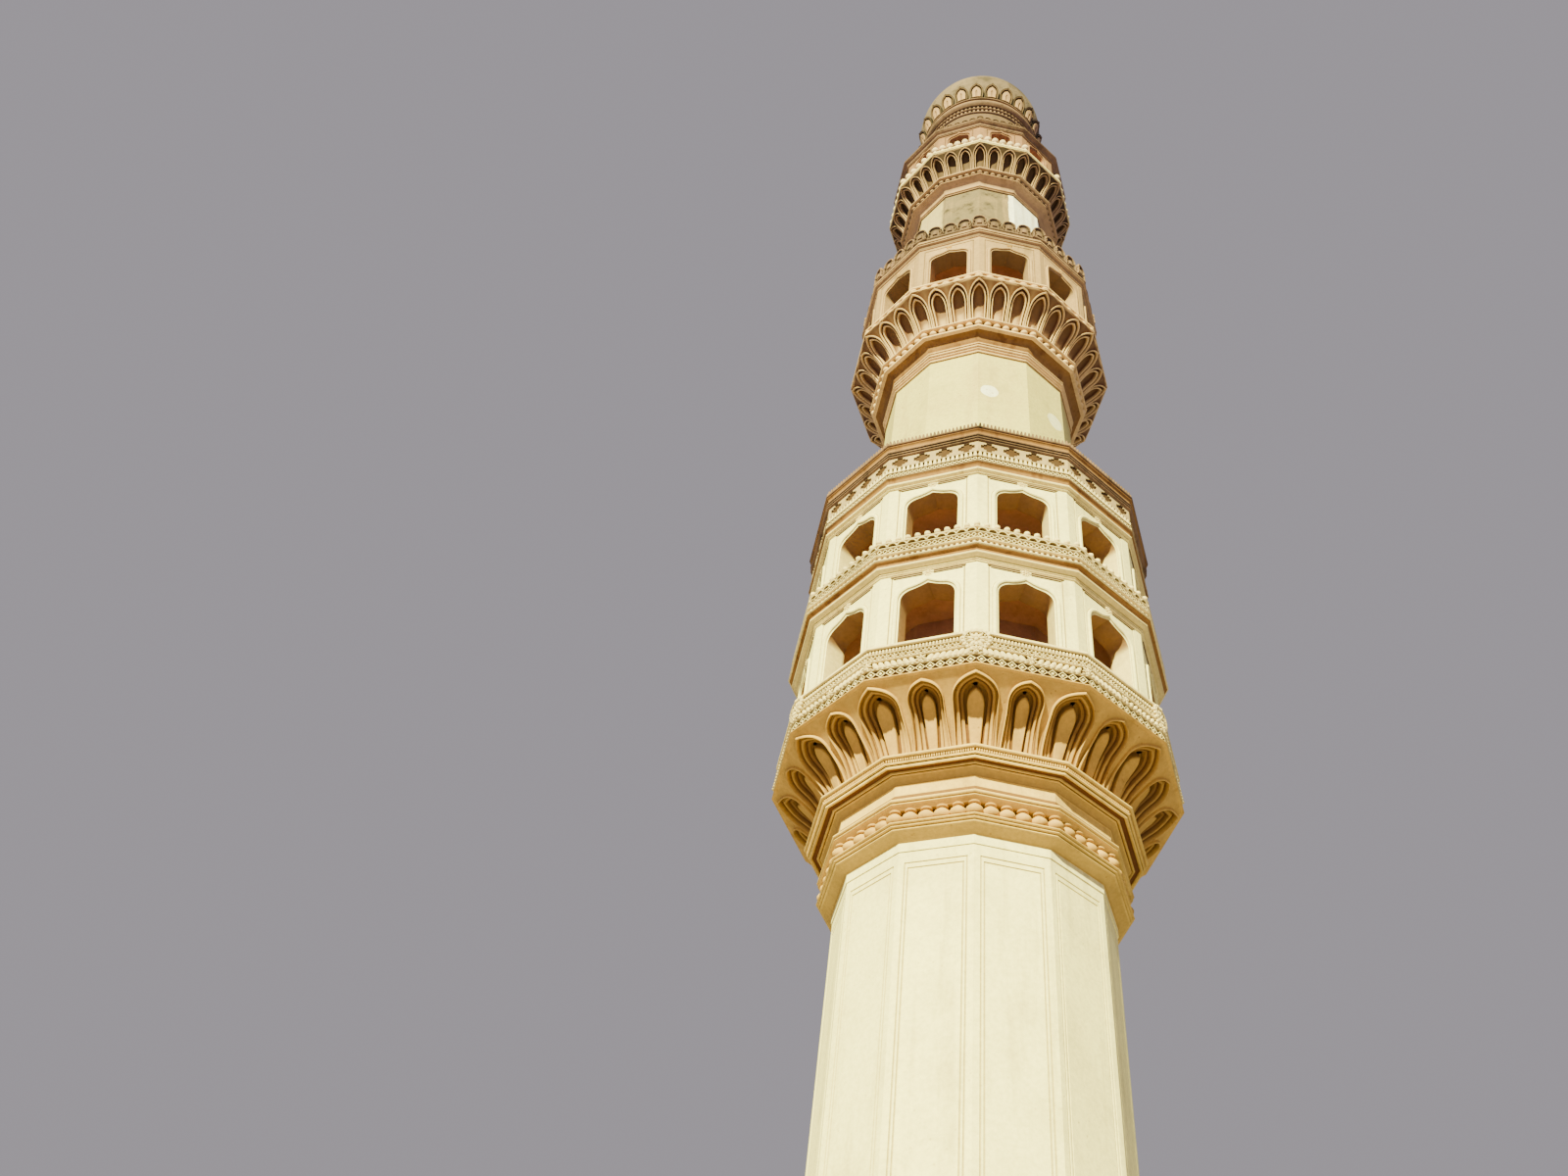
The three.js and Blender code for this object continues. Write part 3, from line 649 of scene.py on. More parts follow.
add("plinth_steps", moulding([
    (0, 0), (3.05, 0), (3.05, 0.21), (3.01, 0.25), (2.85, 0.25), (2.85, 0.3), (2.88, 0.32), (2.88, 0.38, 0.4),
    (2.84, 0.4), (2.84, 0.44), (2.7, 0.58, -0.15), (2.7, 0.6), (0, 0.6),
]), OCHRE, "plinth")
add("lower_shaft_wall_1", joined(
    cells(*flat_cells(panelled(shaft_foot, shaft_break), (shaft_radius, STAIR), np.delete(FACING, 3)), STAIR),
    cells(*flat_cells(doorway(0.45, 1.75, 2.25), (shaft_radius, STAIR), FACING[[3]])),
), CREAM, "lower_shaft_stage_1")
add("lower_shaft_wall_2", cells(*flat_cells(panelled(upper_foot, shaft_head), (shaft_radius, STAIR), FACING), STAIR),
    CREAM, "lower_shaft_stage_2")

# %% [markdown]
# ## Run courses
# Every plain course between the shafts, corbels and galleries is a run moulding. The table gives the solid that
# each one stands for, its finish, its bore and its template, from the ground up. A course in two finishes is two
# rings, one on top of the other.

# %% Run courses
COURSES = (
    ("lower_band", OCHRE, STAIR, [
        (2.41, 7.101), (2.46, 7.11), (2.46, 7.17, 0.35), (2.44, 7.18), (2.53, 7.29, -0.2), (2.555, 7.3),
        (2.555, 7.35, 0.3), (2.52, 7.36), (2.52, 7.46), (2.555, 7.47), (2.555, 7.52, 0.3), (2.44, 7.62, -0.2),
        (2.46, 7.63), (2.46, 7.68, 0.35), (2.41, 7.7),
    ]),
    ("bead_course", CREAM, STAIR, [(2.363, 14.832), (2.359, 14.995)]),
    ("bead_course", OCHRE, STAIR, [
        (2.359, 14.995), (2.37, 15.0, 0, 0.6), (2.545, 15.09, -0.05, 0.35), (2.56, 15.1), (2.57, 15.125, 0.4),
        (2.53, 15.128, 0, 1), (2.53, 15.142, 0, 1), (2.6, 15.145), (2.61, 15.168, 0.4), (2.56, 15.172, 0, 1),
        (2.56, 15.185, 0, 1), (2.635, 15.188), (2.642, 15.217, 0.4), (2.6, 15.225), (2.44, 15.235, 0, 1),
        (2.42, 15.505, 0, 1), (2.55, 15.51, 0, 0.3), (2.6, 15.55),
    ]),
    ("corbel_1_cornice", OCHRE, STAIR, [
        (2.61, 15.552), (2.64, 15.556), (2.645, 15.58, 0.4), (2.595, 15.584, 0, 1), (2.595, 15.602, 0, 1),
        (2.65, 15.606), (2.66, 15.66, 0.35), (2.61, 15.668), (2.551, 15.675, 0, 0.9), (2.551, 15.805, 0, 0.9),
        (2.551, 15.82), (2.551, 16.0), (2.565, 16.01, 0, 0.6), (2.64, 16.13, -0.12, 0.4), (2.645, 16.135),
        (2.668, 16.15, 0.4), (2.66, 16.16, 0, 1), (2.675, 16.163, 0, 1), (2.69, 16.15), (2.725, 16.162, 0.5),
        (2.725, 16.18, 0, 1), (2.8, 16.185, 0, 1), (2.815, 16.16), (2.865, 16.185, 0.5), (2.845, 16.2, 0, 1),
        (2.86, 16.21, 0, 1), (2.875, 16.2), (2.905, 16.235, 0.4), (2.85, 16.24, 0, 1), (2.85, 16.3, 0, 1),
        (2.93, 16.305), (2.966, 16.33, 0.3), (2.95, 16.36),
    ]),
    ("balcony_1_floor", CARVED, STAIR, [
        (3.607, 17.443), (3.66, 17.45), (3.665, 17.48, 0.4), (3.62, 17.488, 0, 1), (3.6, 17.5), (3.6, 17.594),
    ]),
    ("gallery_1_cornice", WARM, STAIR, [
        (3.45, 20.202), (3.475, 20.206), (3.475, 20.228, 0.4), (3.45, 20.232, 0, 1), (3.45, 20.242, 0, 1),
        (3.485, 20.246), (3.49, 20.266, 0.4), (3.47, 20.27, 0, 1), (3.48, 20.282, 0, 1), (3.56, 20.3, 0.1, 0.25),
        (3.6, 20.345, 0.25, 0.3), (3.585, 20.36),
    ]),
    ("gallery_1_cornice", BROWN, STAIR, [(3.585, 20.36), (3.58, 20.37), (3.65, 20.435, -0.2), (3.66, 20.446)]),
    ("terrace_floor", WARM, STAIR, [
        (3.42, 22.822), (3.435, 22.826), (3.435, 22.846, 0.4), (3.41, 22.85, 0, 1), (3.41, 22.86, 0, 1),
        (3.47, 22.87, 0.1, 0.2), (3.5, 22.915, 0.25, 0.2), (3.49, 22.935),
    ]),
    ("terrace_floor", BROWN, STAIR, [(3.49, 22.935), (3.475, 22.95), (3.52, 23.06, -0.2), (3.5, 23.07)]),
    ("terrace_coping", OLD, 3.24, [
        (3.505, 23.732), (3.54, 23.738), (3.545, 23.77, 0.4), (3.5, 23.775, 0, 1), (3.5, 23.8, 0, 1),
        (3.545, 23.805), (3.55, 23.84, 0.4), (3.505, 23.845, 0, 1), (3.505, 23.87, 0, 1), (3.55, 23.876),
        (3.557, 23.915, 0.4), (3.51, 23.92, 0, 1), (3.52, 23.935, 0, 1), (3.53, 23.94),
    ]),
    ("terrace_coping", BROWN, 3.24, [
        (3.53, 23.94), (3.54, 23.945), (3.585, 24.035, -0.2), (3.585, 24.05, 0, 1), (3.56, 24.065, 0, 1),
    ]),
    ("terrace_coping", OLD, 3.24, [
        (3.56, 24.065), (3.56, 24.08), (3.593, 24.085), (3.593, 24.125, 0.4), (3.53, 24.13, 0, 1), (3.53, 24.21, 0, 1),
    ]),
    ("middle_shaft_cornice", CARVED_2, STAIR, [
        (2.196, 28.952), (2.22, 28.956, 0, 1), (2.235, 28.965), (2.235, 29.0, 0.4), (2.2, 29.005, 0, 1),
        (2.2, 29.02, 0, 0.7), (2.205, 29.09, 0, 0.35), (2.235, 29.095), (2.24, 29.13, 0.4), (2.2, 29.135, 0, 1),
        (2.2, 29.16, 0, 1), (2.25, 29.165), (2.265, 29.22, 0.4), (2.235, 29.225, 0, 1), (2.235, 29.245, 0, 1),
        (2.275, 29.25), (2.28, 29.29, 0.4), (2.26, 29.3),
    ]),
    ("middle_shaft_cornice", BROWN, STAIR, [(2.26, 29.3), (2.3, 29.37, -0.05), (2.47, 29.54, -0.16), (2.48, 29.55)]),
    ("middle_shaft_cornice", CARVED_2, STAIR, [
        (2.48, 29.55), (2.53, 29.555), (2.575, 29.6, 0.35), (2.5, 29.61, 0, 1), (2.47, 29.62, 0, 1), (2.47, 29.785, 0, 1),
        (2.6, 29.79), (2.643, 29.82, 0.3), (2.6, 29.845),
    ]),
    ("balcony_2_floor", CARVED_2, STAIR, [
        (3.13, 30.758), (3.177, 30.765), (3.182, 30.8, 0.3), (3.15, 30.81, 0, 1), (3.08, 30.815, 0, 1),
        (3.08, 30.925, 0, 1), (3.16, 30.93), (3.182, 30.945), (3.182, 30.978),
    ]),
    ("gallery_3_cornice", CARVED_3, UPPER_STAIR, [
        (2.97, 33.052), (2.99, 33.06), (2.995, 33.085, 0.4), (2.97, 33.09, 0, 1), (2.975, 33.11, 0, 1),
        (3.02, 33.19, -0.15, 0.4), (3.035, 33.195), (3.055, 33.24, 0.4), (3.02, 33.245, 0, 1), (3.02, 33.28, 0, 1),
        (3.06, 33.285), (3.06, 33.34, 0.3), (3.03, 33.345, 0, 0.8), 
        (3.03, 33.42),
    ]),
    ("upper_shaft_cornice", CARVED_3, UPPER_STAIR, [
        (1.869, 37.902), (1.885, 37.906, 0, 1), (1.905, 37.912), (1.905, 37.94, 0.4), (1.87, 37.945, 0, 1),
        (1.87, 37.96, 0, 0.8), (1.875, 38.0, 0, 0.4), (1.91, 38.005), (1.915, 38.04, 0.4), (1.89, 38.05, 0, 1),
    ]),
    ("upper_shaft_cornice", CARVED_3, UPPER_STAIR, [(1.89, 38.05), (2.1, 38.26, -0.15), (2.11, 38.27)]),
    ("upper_shaft_cornice", CARVED_3, UPPER_STAIR, [
        (2.11, 38.27), (2.14, 38.275), (2.16, 38.3, 0.35), (2.11, 38.31, 0, 1), (2.11, 38.39, 0, 1), (2.24, 38.4),
        (2.28, 38.43, 0.3), (2.25, 38.45),
    ]),
    ("balcony_3_floor", WARM, UPPER_STAIR, [
        (2.6, 39.252), (2.635, 39.26), (2.635, 39.3, 0.35), (2.61, 39.31), (2.61, 39.33), (2.64, 39.34),
        (2.64, 39.41, 0.1), (2.6, 39.42),
    ]),
    ("balcony_3_kerb", WORN, 2.47, [(2.57, 39.422), (2.57, 39.49), (2.54, 39.51, 0.2), (2.53, 39.52)]),
    ("belvedere_cornice", OLD, CHAMBER, [
        (2.422, 41.052), (2.422, 40.74), (2.45, 40.745), (2.45, 40.775, 0.4), (2.44, 40.785), (2.47, 40.8),
        (2.54, 40.87, -0.15), (2.545, 40.875), (2.57, 40.89), (2.575, 40.95, 0.4), (2.55, 40.96), (2.55, 40.99),
        (2.57, 41.0), (2.57, 41.03, 0.4), (2.45, 41.07), (2.42, 41.1), (2.4, 41.3), (2.39, 41.33), (2.38, 41.42),
        (2.365, 41.44, 0.3), (2.33, 41.485),
    ]),
    ("belvedere_cresting", OLD, 2.18, [(2.31, 41.487), (2.33, 41.51), (2.33, 41.55, 0.3), (2.28, 41.57), (2.28, 41.62)]),
)
for order, (node, finish, bore, points) in enumerate(COURSES):
    add(f"{node}_run_{order + 1:02d}", moulding(points, bore), finish, node)
print(f"{len(COURSES)} run courses")

# %% [markdown]
# ## Beads, teeth and pearls
# The courses carry rows of small cast work, pressed on one by one: fat buns with a smaller roll on top, small
# teeth under the great lotus, and round pearls on the top balcony.

# %% Beads, teeth and pearls
def every(count, shift=0.0):
    """Even shares along a side."""
    return (np.arange(count) + shift) / count


# The bun's foot and neck are painted dark as the shade where it meets the course.
BUN = spun([
    (0, 0), (0.07, 0, 0, 0.5), (0.075, 0.02, 0.3), (0.085, 0.03, 0, 0.9), (0.125, 0.06), (0.1, 0.17, 0.28),
    (0.06, 0.215, 0.1), (0.055, 0.225, 0, 1), (0.09, 0.24), (0.09, 0.27, 0.35), (0, 0.285),
], 14)
PEARL = joined(egg(0.102, 0.1, 0.11, 12, 8), spun([(0.06, -0.22), (0.06, -0.17), (0.045, -0.14), (0.045, -0.07), (0, -0.05)], 8))
add("bead_row", placed(BUN, on_sides(every(5), 2.505, 15.23)), CARVED, crease=50)
add("cornice_teeth", placed(block(0.02, 0.09, 0.068, 1.2), on_sides(every(37, 0.5), 2.87, 16.238)), CARVED)
add("corbel_2_beads", placed(egg(0.088, 0.08, 0.07), on_sides(every(6), 2.53, 29.7)), CARVED_2, crease=60)
add("balcony_2_dashes", placed(egg(0.1, 0.06, 0.046), on_sides(every(6), 3.125, 30.872)), CARVED_2, crease=60)
add("corbel_3_dashes", placed(egg(0.072, 0.05, 0.035), on_sides(every(6), 2.155, 38.352)), CARVED_3, crease=60)
# The pearls of one side are lost. Their dark sockets are left.
seats = on_sides(every(6), 2.555, 39.66)
lost = np.arange(72) // 6 == 9
lost[54] = False
add("balcony_3_pearls", placed(PEARL, (seats[0][~lost], seats[1][~lost])), PEARLY, crease=60)
# The empty sockets are painted fully dark, as dust and as the shade in them.
sockets = placed(spun([(0.045, -0.025), (0.05, 0), (0.03, 0.02), (0, 0.02)], 8), (seats[0][lost], seats[1][lost]))
add("balcony_3_sockets", (sockets[0] - [0, 0, 0.09], sockets[1], sockets[2] + 1), CARVED)

# %% [markdown]
# ## Lotus corbels
# A corbel spreads from shaft to balcony like a lotus. Its leaves are drawn flat, as nested outlines in a square one
# leaf wide and one corbel high, and then bent on: across becomes an angle round the axis, up becomes height with a
# radius that grows by the square, and depth goes in along the surface's own normal. Depth fades towards the foot, where
# all the ribs run together. The upper part of each leaf is painted dark, for dirt and for the shade that the leaf's
# head casts; below a given height the dark goes over to each outline's value at the foot.

# %% Lotus corbels
def smooth(x):
    """A smooth step from 0 to 1."""
    x = np.clip(x, 0, 1)
    return x * x * (3 - 2 * x)


def bent(layers, foot, head, start, flare, count, widths=(1, 1), power=2.0, first=TURN / 2, plan=side_reach):
    """Leaves bent round a flaring ring: radius = start + flare x v^power, then depth along the surface's normal.
    Depth fades towards the foot to each layer's root share. widths narrows every other leaf above its foot."""
    outline = np.stack([layer[0] for layer in layers])
    depth, root = np.array([layer[1:3] for layer in layers], float).T[:, :, None]
    u, v = outline[..., 0], np.clip(outline[..., 1], 0, None)
    narrow = 1 - np.resize(widths, count)[:, None, None]
    narrow = narrow * np.clip(v / 0.6, 0, 1) * (np.arange(len(layers)) > 0)[:, None]
    angle = first + (np.arange(count)[:, None, None] + u * (1 - narrow) / 2) * 2 * np.pi / count
    depth = depth * (root + (1 - root) * smooth((v - 0.3) / 0.4))
    lean = np.arctan2(power * flare * v ** (power - 1), head - foot)
    soft = 0.45 * np.sin(np.pi * np.clip(v, 0, 1))
    edge = plan(angle) * (1 - soft) + 0.99 * soft
    radius = (start + flare * v**power) * edge + depth * np.cos(lean)
    level = np.minimum(foot + (head - foot) * v - depth * np.sin(lean) + 0 * angle, head)
    return np.stack([radius * np.cos(angle), radius * np.sin(angle), level], -1)


def lotus(name, finish, rows, spandrel, dark_from, start, flare, count, bore, head, widths=(1, 1)):
    """A corbel from rows of (half, foot half, spring, apex, depth, root, dark share, dark share at the foot), from the
    outside of a leaf to its heart. The dark share paints dirt and the shade under the leaf heads: above the height
    where that shade begins it goes over from its value at the foot to its full value. spandrel is the dark share
    between the leaf heads, painted shade under the overhang and dirt."""
    layers = [(oblong(1, 0, 1), 0, 1, spandrel, 0.3)]
    for step, (half, foot_half, spring, apex, *rest) in enumerate(rows):
        layers.append((keel(half, 0.004 + 0.002 * step, spring, apex, foot_half, head), *rest))
    layers.append((layers[-1][0] * [0, 1], *layers[-1][1:]))
    full, low = np.array([layer[3:5] for layer in layers]).T[:, :, None]
    dirt_and_shade = low + (full - low) * smooth((np.stack([layer[0][:, 1] for layer in layers]) - dark_from) / 0.16)
    add(f"{name}_leaves", cells(bent(layers, *levels(name), start, flare, count, widths), dirt_and_shade, bore), finish, name)


lotus("lotus_corbel_1", CARVED, [
    (0.95, 0.98, 0.74, 0.975, 0.0, 1.0, 0.3, 0.8), (0.93, 0.95, 0.74, 0.965, 0.05, 0.8, 0.0, 0.1),
    (0.90, 0.88, 0.74, 0.955, 0.055, 0.8, 0.0, 0.1), (0.87, 0.84, 0.74, 0.945, -0.05, 0.6, 1.0, 1.0),
    (0.84, 0.79, 0.74, 0.938, -0.06, 0.6, 0.5, 0.3), (0.77, 0.70, 0.74, 0.92, -0.03, 0.6, 0.4, 0.1),
    (0.69, 0.60, 0.735, 0.90, -0.05, 0.6, 0.6, 0.1), (0.67, 0.56, 0.73, 0.892, -0.13, 0.55, 1.0, 1.0),
    (0.62, 0.49, 0.72, 0.878, -0.12, 0.5, 0.8, 0.3), (0.52, 0.36, 0.71, 0.862, -0.14, 0.5, 0.8, 0.1),
    (0.50, 0.32, 0.70, 0.855, -0.22, 0.4, 0.8, 1.0), (0.38, 0.22, 0.68, 0.82, -0.25, 0.35, 0.7, 0.9),
    (0.37, 0.18, 0.65, 0.80, -0.13, 0.3, 0.5, 0.3), (0.34, 0.13, 0.63, 0.785, -0.115, 0.25, 0.2, 0.15),
    (0.14, 0.05, 0.54, 0.68, -0.15, 0.2, 0.15, 0.15),
], 0.1, 0.42, 2.68, 0.927, 24, STAIR, LEAF_HEAD, (1, 0.79))
SMALL_LEAF = [
    (0.97, 0.96, 0.62, 0.98, 0.0, 1.0, 1.0, 1.0), (0.96, 0.94, 0.62, 0.976, 0.045, 0.9, 0.0, 0.0),
    (0.87, 0.85, 0.62, 0.95, 0.045, 0.9, 0.0, 0.0), (0.85, 0.82, 0.62, 0.943, -0.05, 0.9, 1.0, 1.0),
    (0.72, 0.69, 0.61, 0.905, -0.05, 0.9, 1.0, 1.0), (0.70, 0.66, 0.61, 0.898, 0.015, 0.9, 0.0, 0.0),
    (0.61, 0.56, 0.6, 0.872, 0.015, 0.9, 0.0, 0.0), (0.58, 0.52, 0.59, 0.863, -0.07, 0.8, 1.0, 0.9),
    (0.46, 0.38, 0.57, 0.82, -0.12, 0.7, 0.9, 0.6), (0.2, 0.15, 0.5, 0.7, -0.15, 0.5, 0.85, 0.25),
]
lotus("lotus_corbel_2", CARVED_2, SMALL_LEAF, 0.85, 0.3, 2.5, 0.677, 36, STAIR, SMALL_HEAD)
lotus("lotus_corbel_3", CARVED_3, SMALL_LEAF, 0.95, 0.2, 2.18, 0.447, 36, UPPER_STAIR, SMALL_HEAD)
print("three corbels with", 24 + 36 + 36, "leaves")

# %% [markdown]
# ## Arcades
# Each gallery is a ring wall with an arch in every side. One cell holds the side's sunk frame line, the raised rim
# round the arch, the reveal through the wall and the wall's inner face. The frame line and the rim's grooves are
# painted dark as their shade, the reveal darkens towards the arch's head and the inner face is painted nearly black, as
# shade. Over the two great galleries' arches runs a double raised line, broken by a flower boss; each raised line has a
# dark bar under it, a painted shadow line.

# %% Arcades
def arch_side(gallery, thickness, half, spring, apex, sill, aside, below, mottled):
    """One arcade's cells: the outline, a sunk frame line, the arch's rim, its reveal and the inner face."""
    foot, head = levels(f"{gallery}_arcade_right")
    near = reach(f"{gallery}_arcade_right")
    far = near - thickness
    side = near * HALF_SIDE
    layers = [(oblong(side, foot, head), 0, 0, mottled)]
    for inset, out, dirt_and_shade in ((-0.014, 0, mottled), (-0.008, -0.014, 0.8), (0.008, -0.014, 0.8), (0.014, 0, mottled)):
        layers.append((oblong(side - aside - inset, foot + 0.02 + inset, head - below - inset), out, 0, dirt_and_shade))
    layers.append((layers[-1][0], 0, 0))
    for wider, out, dirt_and_shade in ((0.118, 0, 0), (0.114, -0.008, 0.5), (0.108, -0.008, 0.5), (0.104, 0.018, 0), (0.09, 0.034, 0),
                             (0.06, 0.038, 0), (0.038, 0.026, 0), (0.032, -0.004, 0.5), (0.026, -0.004, 0.5), (0.02, 0, 0), (0, -0.01, 0)):
        low = max(sill - wider, foot + 0.04 - 0.1 * wider)
        rim = (ARCH_HEAD[0], ARCH_HEAD[1], ARCH_HEAD[2] + 0.8 * wider)
        layers.append((keel(half + wider, low, spring, apex + 1.3 * wider, head=rim), out, 0, dirt_and_shade))
    front = len(layers)
    layers += [(keel(half, sill, spring, apex), 0, through) for through in (0.02, 0.85)]
    # The reveal's back edge and the wall's inner face are painted nearly black: the shade inside the gallery.
    layers.append((keel(half + 0.01, sill - 0.005, spring, apex + 0.01), 0, 1, 0.9))
    layers.append((oblong(far * HALF_SIDE, foot, head), 0, 1, 1.0))
    points, dirt_and_shade = flat_cells(layers, (near, far), FACING)
    dirt_and_shade = np.tile(dirt_and_shade, points.shape[2])
    # Painted shade: the reveal darkens towards the arch's head, under its soffit.
    soffit_shade = smooth((layers[front][0][:, 1] - spring + 0.05) / 0.2)
    dirt_and_shade[front:front + 2] = 0.1 + 0.8 * soffit_shade
    face = joined(carved(points[:, :front], dirt_and_shade[:front]), ends(points))
    return face, carved(points[:, front - 1:], dirt_and_shade[front - 1:])


for gallery, thickness, half, spring, apex, sill, aside, below, finish, inner, mottled in (
    ("gallery_1", WALL, 0.5, 19.494, 19.894, 17.65, 0.223, 0.06, CREAM, LINING, 0.04),
    ("gallery_2", WALL, 0.5, 22.176, 22.536, 20.5, 0.21, 0.06, CREAM, LINING, 0.08),
    ("gallery_3", WALL, 0.46, 32.378, 32.678, 31.298, 0.15, 0.1, CREAM_3, CREAM_3, 0.3),
    ("belvedere", 0.36, 0.29, 40.34, 40.6, 39.62, 0.215, 0.38, PINK, INSIDE, 0.1),
):
    quarters = [f"{gallery}_arcade_{quarter}" for quarter in QUARTERS]
    face, lining = arch_side(gallery, thickness, half, spring, apex, sill, aside, below, mottled)
    add(f"{gallery}_arches", face, finish, *quarters)
    add(f"{gallery}_linings", lining, inner, *quarters)
# The gallery ceilings take the dark inside plaster, painted shade.
add("gallery_ceilings", joined(*[moulding([(radius, level), (radius, level + 0.01)], bore) for radius, level, bore in (
    (2.98, 20.189, 2.16), (2.93, 22.809, 2.16), (2.5, 33.039, 1.81), (2.05, 41.039, CHAMBER))]), INSIDE)
for gallery, radius, level, boss in (("gallery_1", 3.45, 20.12, 0.09), ("gallery_2", 3.4, 22.745, 0.085)):
    side = 2 * radius * HALF_SIDE
    bars = []
    # Each raised line lies on a dark bar that shows just under it: a painted shadow line.
    for length, middle, rise in ((0.54, 0.37, 0), (0.6, 0.4, 0.05)):
        spots = on_sides([0.5 - middle / side, 0.5 + middle / side], radius, level + rise)
        points, quads, shade_and_dust = placed(block(length, 0.024, 0.016), spots)
        bars += [placed(block(length, 0.034, 0.014), spots), (points - [0, 0, 0.016], quads, shade_and_dust + 1)]
    add(f"{gallery}_lines", joined(*bars), WORN)
    add(f"{gallery}_bosses", placed(flower(boss), on_sides([0.5], radius, level + 0.02)), PALE, crease=60)
add("gallery_3_bosses", placed(flower(0.07), on_sides([0.5], 2.97, 32.89)), CARVED, crease=60)
add("belvedere_bosses", placed(flower(0.05, 6), on_sides([0.5], 2.42, 40.71)), OLD, crease=60)

# %% [markdown]
# ## Balcony fronts
# The first balcony's front is small work in bands, set on a profile that steps back behind each of them: a lattice
# of diamonds under a scalloped edge, fat leaves that lean away from the side's middle, florets and a dotted rail.

# %% The first balcony's front
FRONT_BACK = 3.4506
LOZENGE = joined(
    lozenge(0.086, 0.087, ((1, 0, 1), (1, 0.025, 0.3), (0.98, 0.03, 0), (0.8, 0.03, 0), (0.78, 0.025, 0.6), (0.77, 0, 1))),
    lozenge(0.034, 0.036, ((1, 0, 1), (0.95, 0.025, 0.2), (0.8, 0.03, 0), (0, 0.03, 0))),
)
FLORET = joined(egg(0.018, 0.035, 0.018, 6, 4), fanned(egg(0.014, 0.025, 0.024, 6, 4), 6, 0.038))
# Where the profile steps back behind the small work, it is painted dark as its shade.
front = moulding([
    (3.6, 17.488), (3.61, 17.49, 0, 1), (3.61, 17.662, 0, 1), (3.672, 17.667), (3.672, 17.68), (3.595, 17.685), (3.595, 17.87),
    (3.66, 17.875), (3.663, 17.893, 0.4), (3.61, 17.897), (3.61, 18.038), (3.655, 18.04), (3.658, 18.055, 0.4),
    (3.612, 18.058), (3.612, 18.178), (3.66, 18.18), (3.67, 18.2, 0.3), (3.67, 18.23), (3.64, 18.247),
], FRONT_BACK, None, 3.65)
small_work = [
    placed(LOZENGE, on_sides(every(11, 0.5), 3.622, 17.576)),
    placed(egg(0.043, 0.03, 0.02, 8, 4), on_sides(every(22), 3.668, 17.69)),
    placed(FLORET, on_sides(every(14, 0.5), 3.625, 17.967)),
    placed(egg(0.017, 0.03, 0.02, 6, 4), on_sides(every(28), 3.625, 18.012)),
    placed(egg(0.017, 0.03, 0.02, 6, 4), on_sides(every(28), 3.625, 17.922)),
    placed(egg(0.024, 0.03, 0.046, 6, 4), on_sides(every(32, 0.5), 3.615, 18.118)),
]
for away, first in ((-1, 0.05), (1, 0.55)):
    leaf = fanned(egg(0.051, 0.06, 0.112, 10, 8), 1, 0, 0.5 * away)
    small_work.append(placed(leaf, on_sides(first + every(7, 0.5) * 0.4, 3.6, 17.785)))
add("balcony_1_front", front, PALE, "balcony_1_parapet")
add("balcony_1_work", joined(*small_work), PALE, crease=60)
clumps = [placed(clump(0.12), on_sides([share], 3.64, 17.79)) for share in (0, 0.5)]
add("balcony_1_clumps", joined(*clumps), PALE, crease=60)
rosette = joined(flower(0.19, 10, 0.2), fanned(egg(0.035, 0.03, 0.035, 8, 5), 18, 0.225), hoop(0.2, 0.02, 0.03, 2 * math.pi, 24))
seats = on_sides([0.0], 3.62, 18.03)
add("balcony_1_rosettes", placed(rosette, (seats[0][::2], seats[1][::2])), PALE, crease=60)

# %% [markdown]
# The second balcony's front has rows of dots and diamonds, and dark crescents between pale arcs and the buds under
# them: the arcs' inner sides, painted dark as shade. The terrace has stepped crosses sunk over rows of small rings and
# notches, and a toothed edge; the sunk crosses are painted dark as their shade. The crosses' steps are crisp because
# each edge is two grid lines a few millimetres apart, one on each side of the step.

# %% Second balcony and terrace fronts
SECOND_BACK, TERRACE_BACK = 3.4006, 3.24
front = moulding([
    (3.66, 20.448), (3.68, 20.455), (3.68, 20.48, 0.4), (3.62, 20.485), (3.62, 20.605), (3.665, 20.61),
    (3.665, 20.64, 0.4), (3.62, 20.645), (3.62, 20.785), (3.66, 20.79), (3.662, 20.812, 0.4), (3.575, 20.816, 0, 1),
    (3.575, 20.92, 0, 1), (3.655, 20.93), (3.655, 20.965, 0.4), (3.6, 20.975),
], SECOND_BACK, None, 3.61)
add("balcony_2_front", front, PALE, "gallery_2_parapet")
BALL = spun([(0, -0.01), (0.035, 0), (0.02, 0.025), (0.045, 0.045), (0.056, 0.085, 0.2), (0.035, 0.125, 0.25), (0, 0.145)], 10)
# A flat dark diamond: the painted shade of a small hole.
PAINTED_HOLE = lozenge(0.03, 0.03, ((1, -0.005, 1), (0.9, 0.008, 1), (0, 0.004, 1)))
add("balcony_2_work", joined(
    placed(egg(0.03, 0.03, 0.04, 8, 5), on_sides(every(18, 0.5), 3.622, 20.545)),
    placed(PAINTED_HOLE, on_sides(every(18), 3.621, 20.57)),
    placed(lozenge(0.052, 0.066), on_sides(every(18, 0.5), 3.622, 20.715)),
    placed(PAINTED_HOLE, on_sides(every(18), 3.621, 20.76)),
    placed(hoop(0.084, 0.02, 0.055), on_sides(every(10, 0.5), 3.605, 20.835)),
    placed(egg(0.035, 0.03, 0.025, 8, 5), on_sides(every(10, 0.5), 3.595, 20.82)),
    placed(BALL, on_sides(every(10), 3.6, 20.97)),
), PALE, crease=60)

CROSS = ((0.165, 0.05), (0.11, 0.085), (0.055, 0.14))
CROSS_SIDE = 2 * 3.505 * HALF_SIDE
CROSS_BAND = (23.43, 23.73)
CROSS_MIDDLE = 0.5


def edges(marks, gap):
    """Grid lines in pairs about each mark."""
    marks = np.asarray(marks, float)
    return np.concatenate([marks - gap / 2, marks + gap / 2])


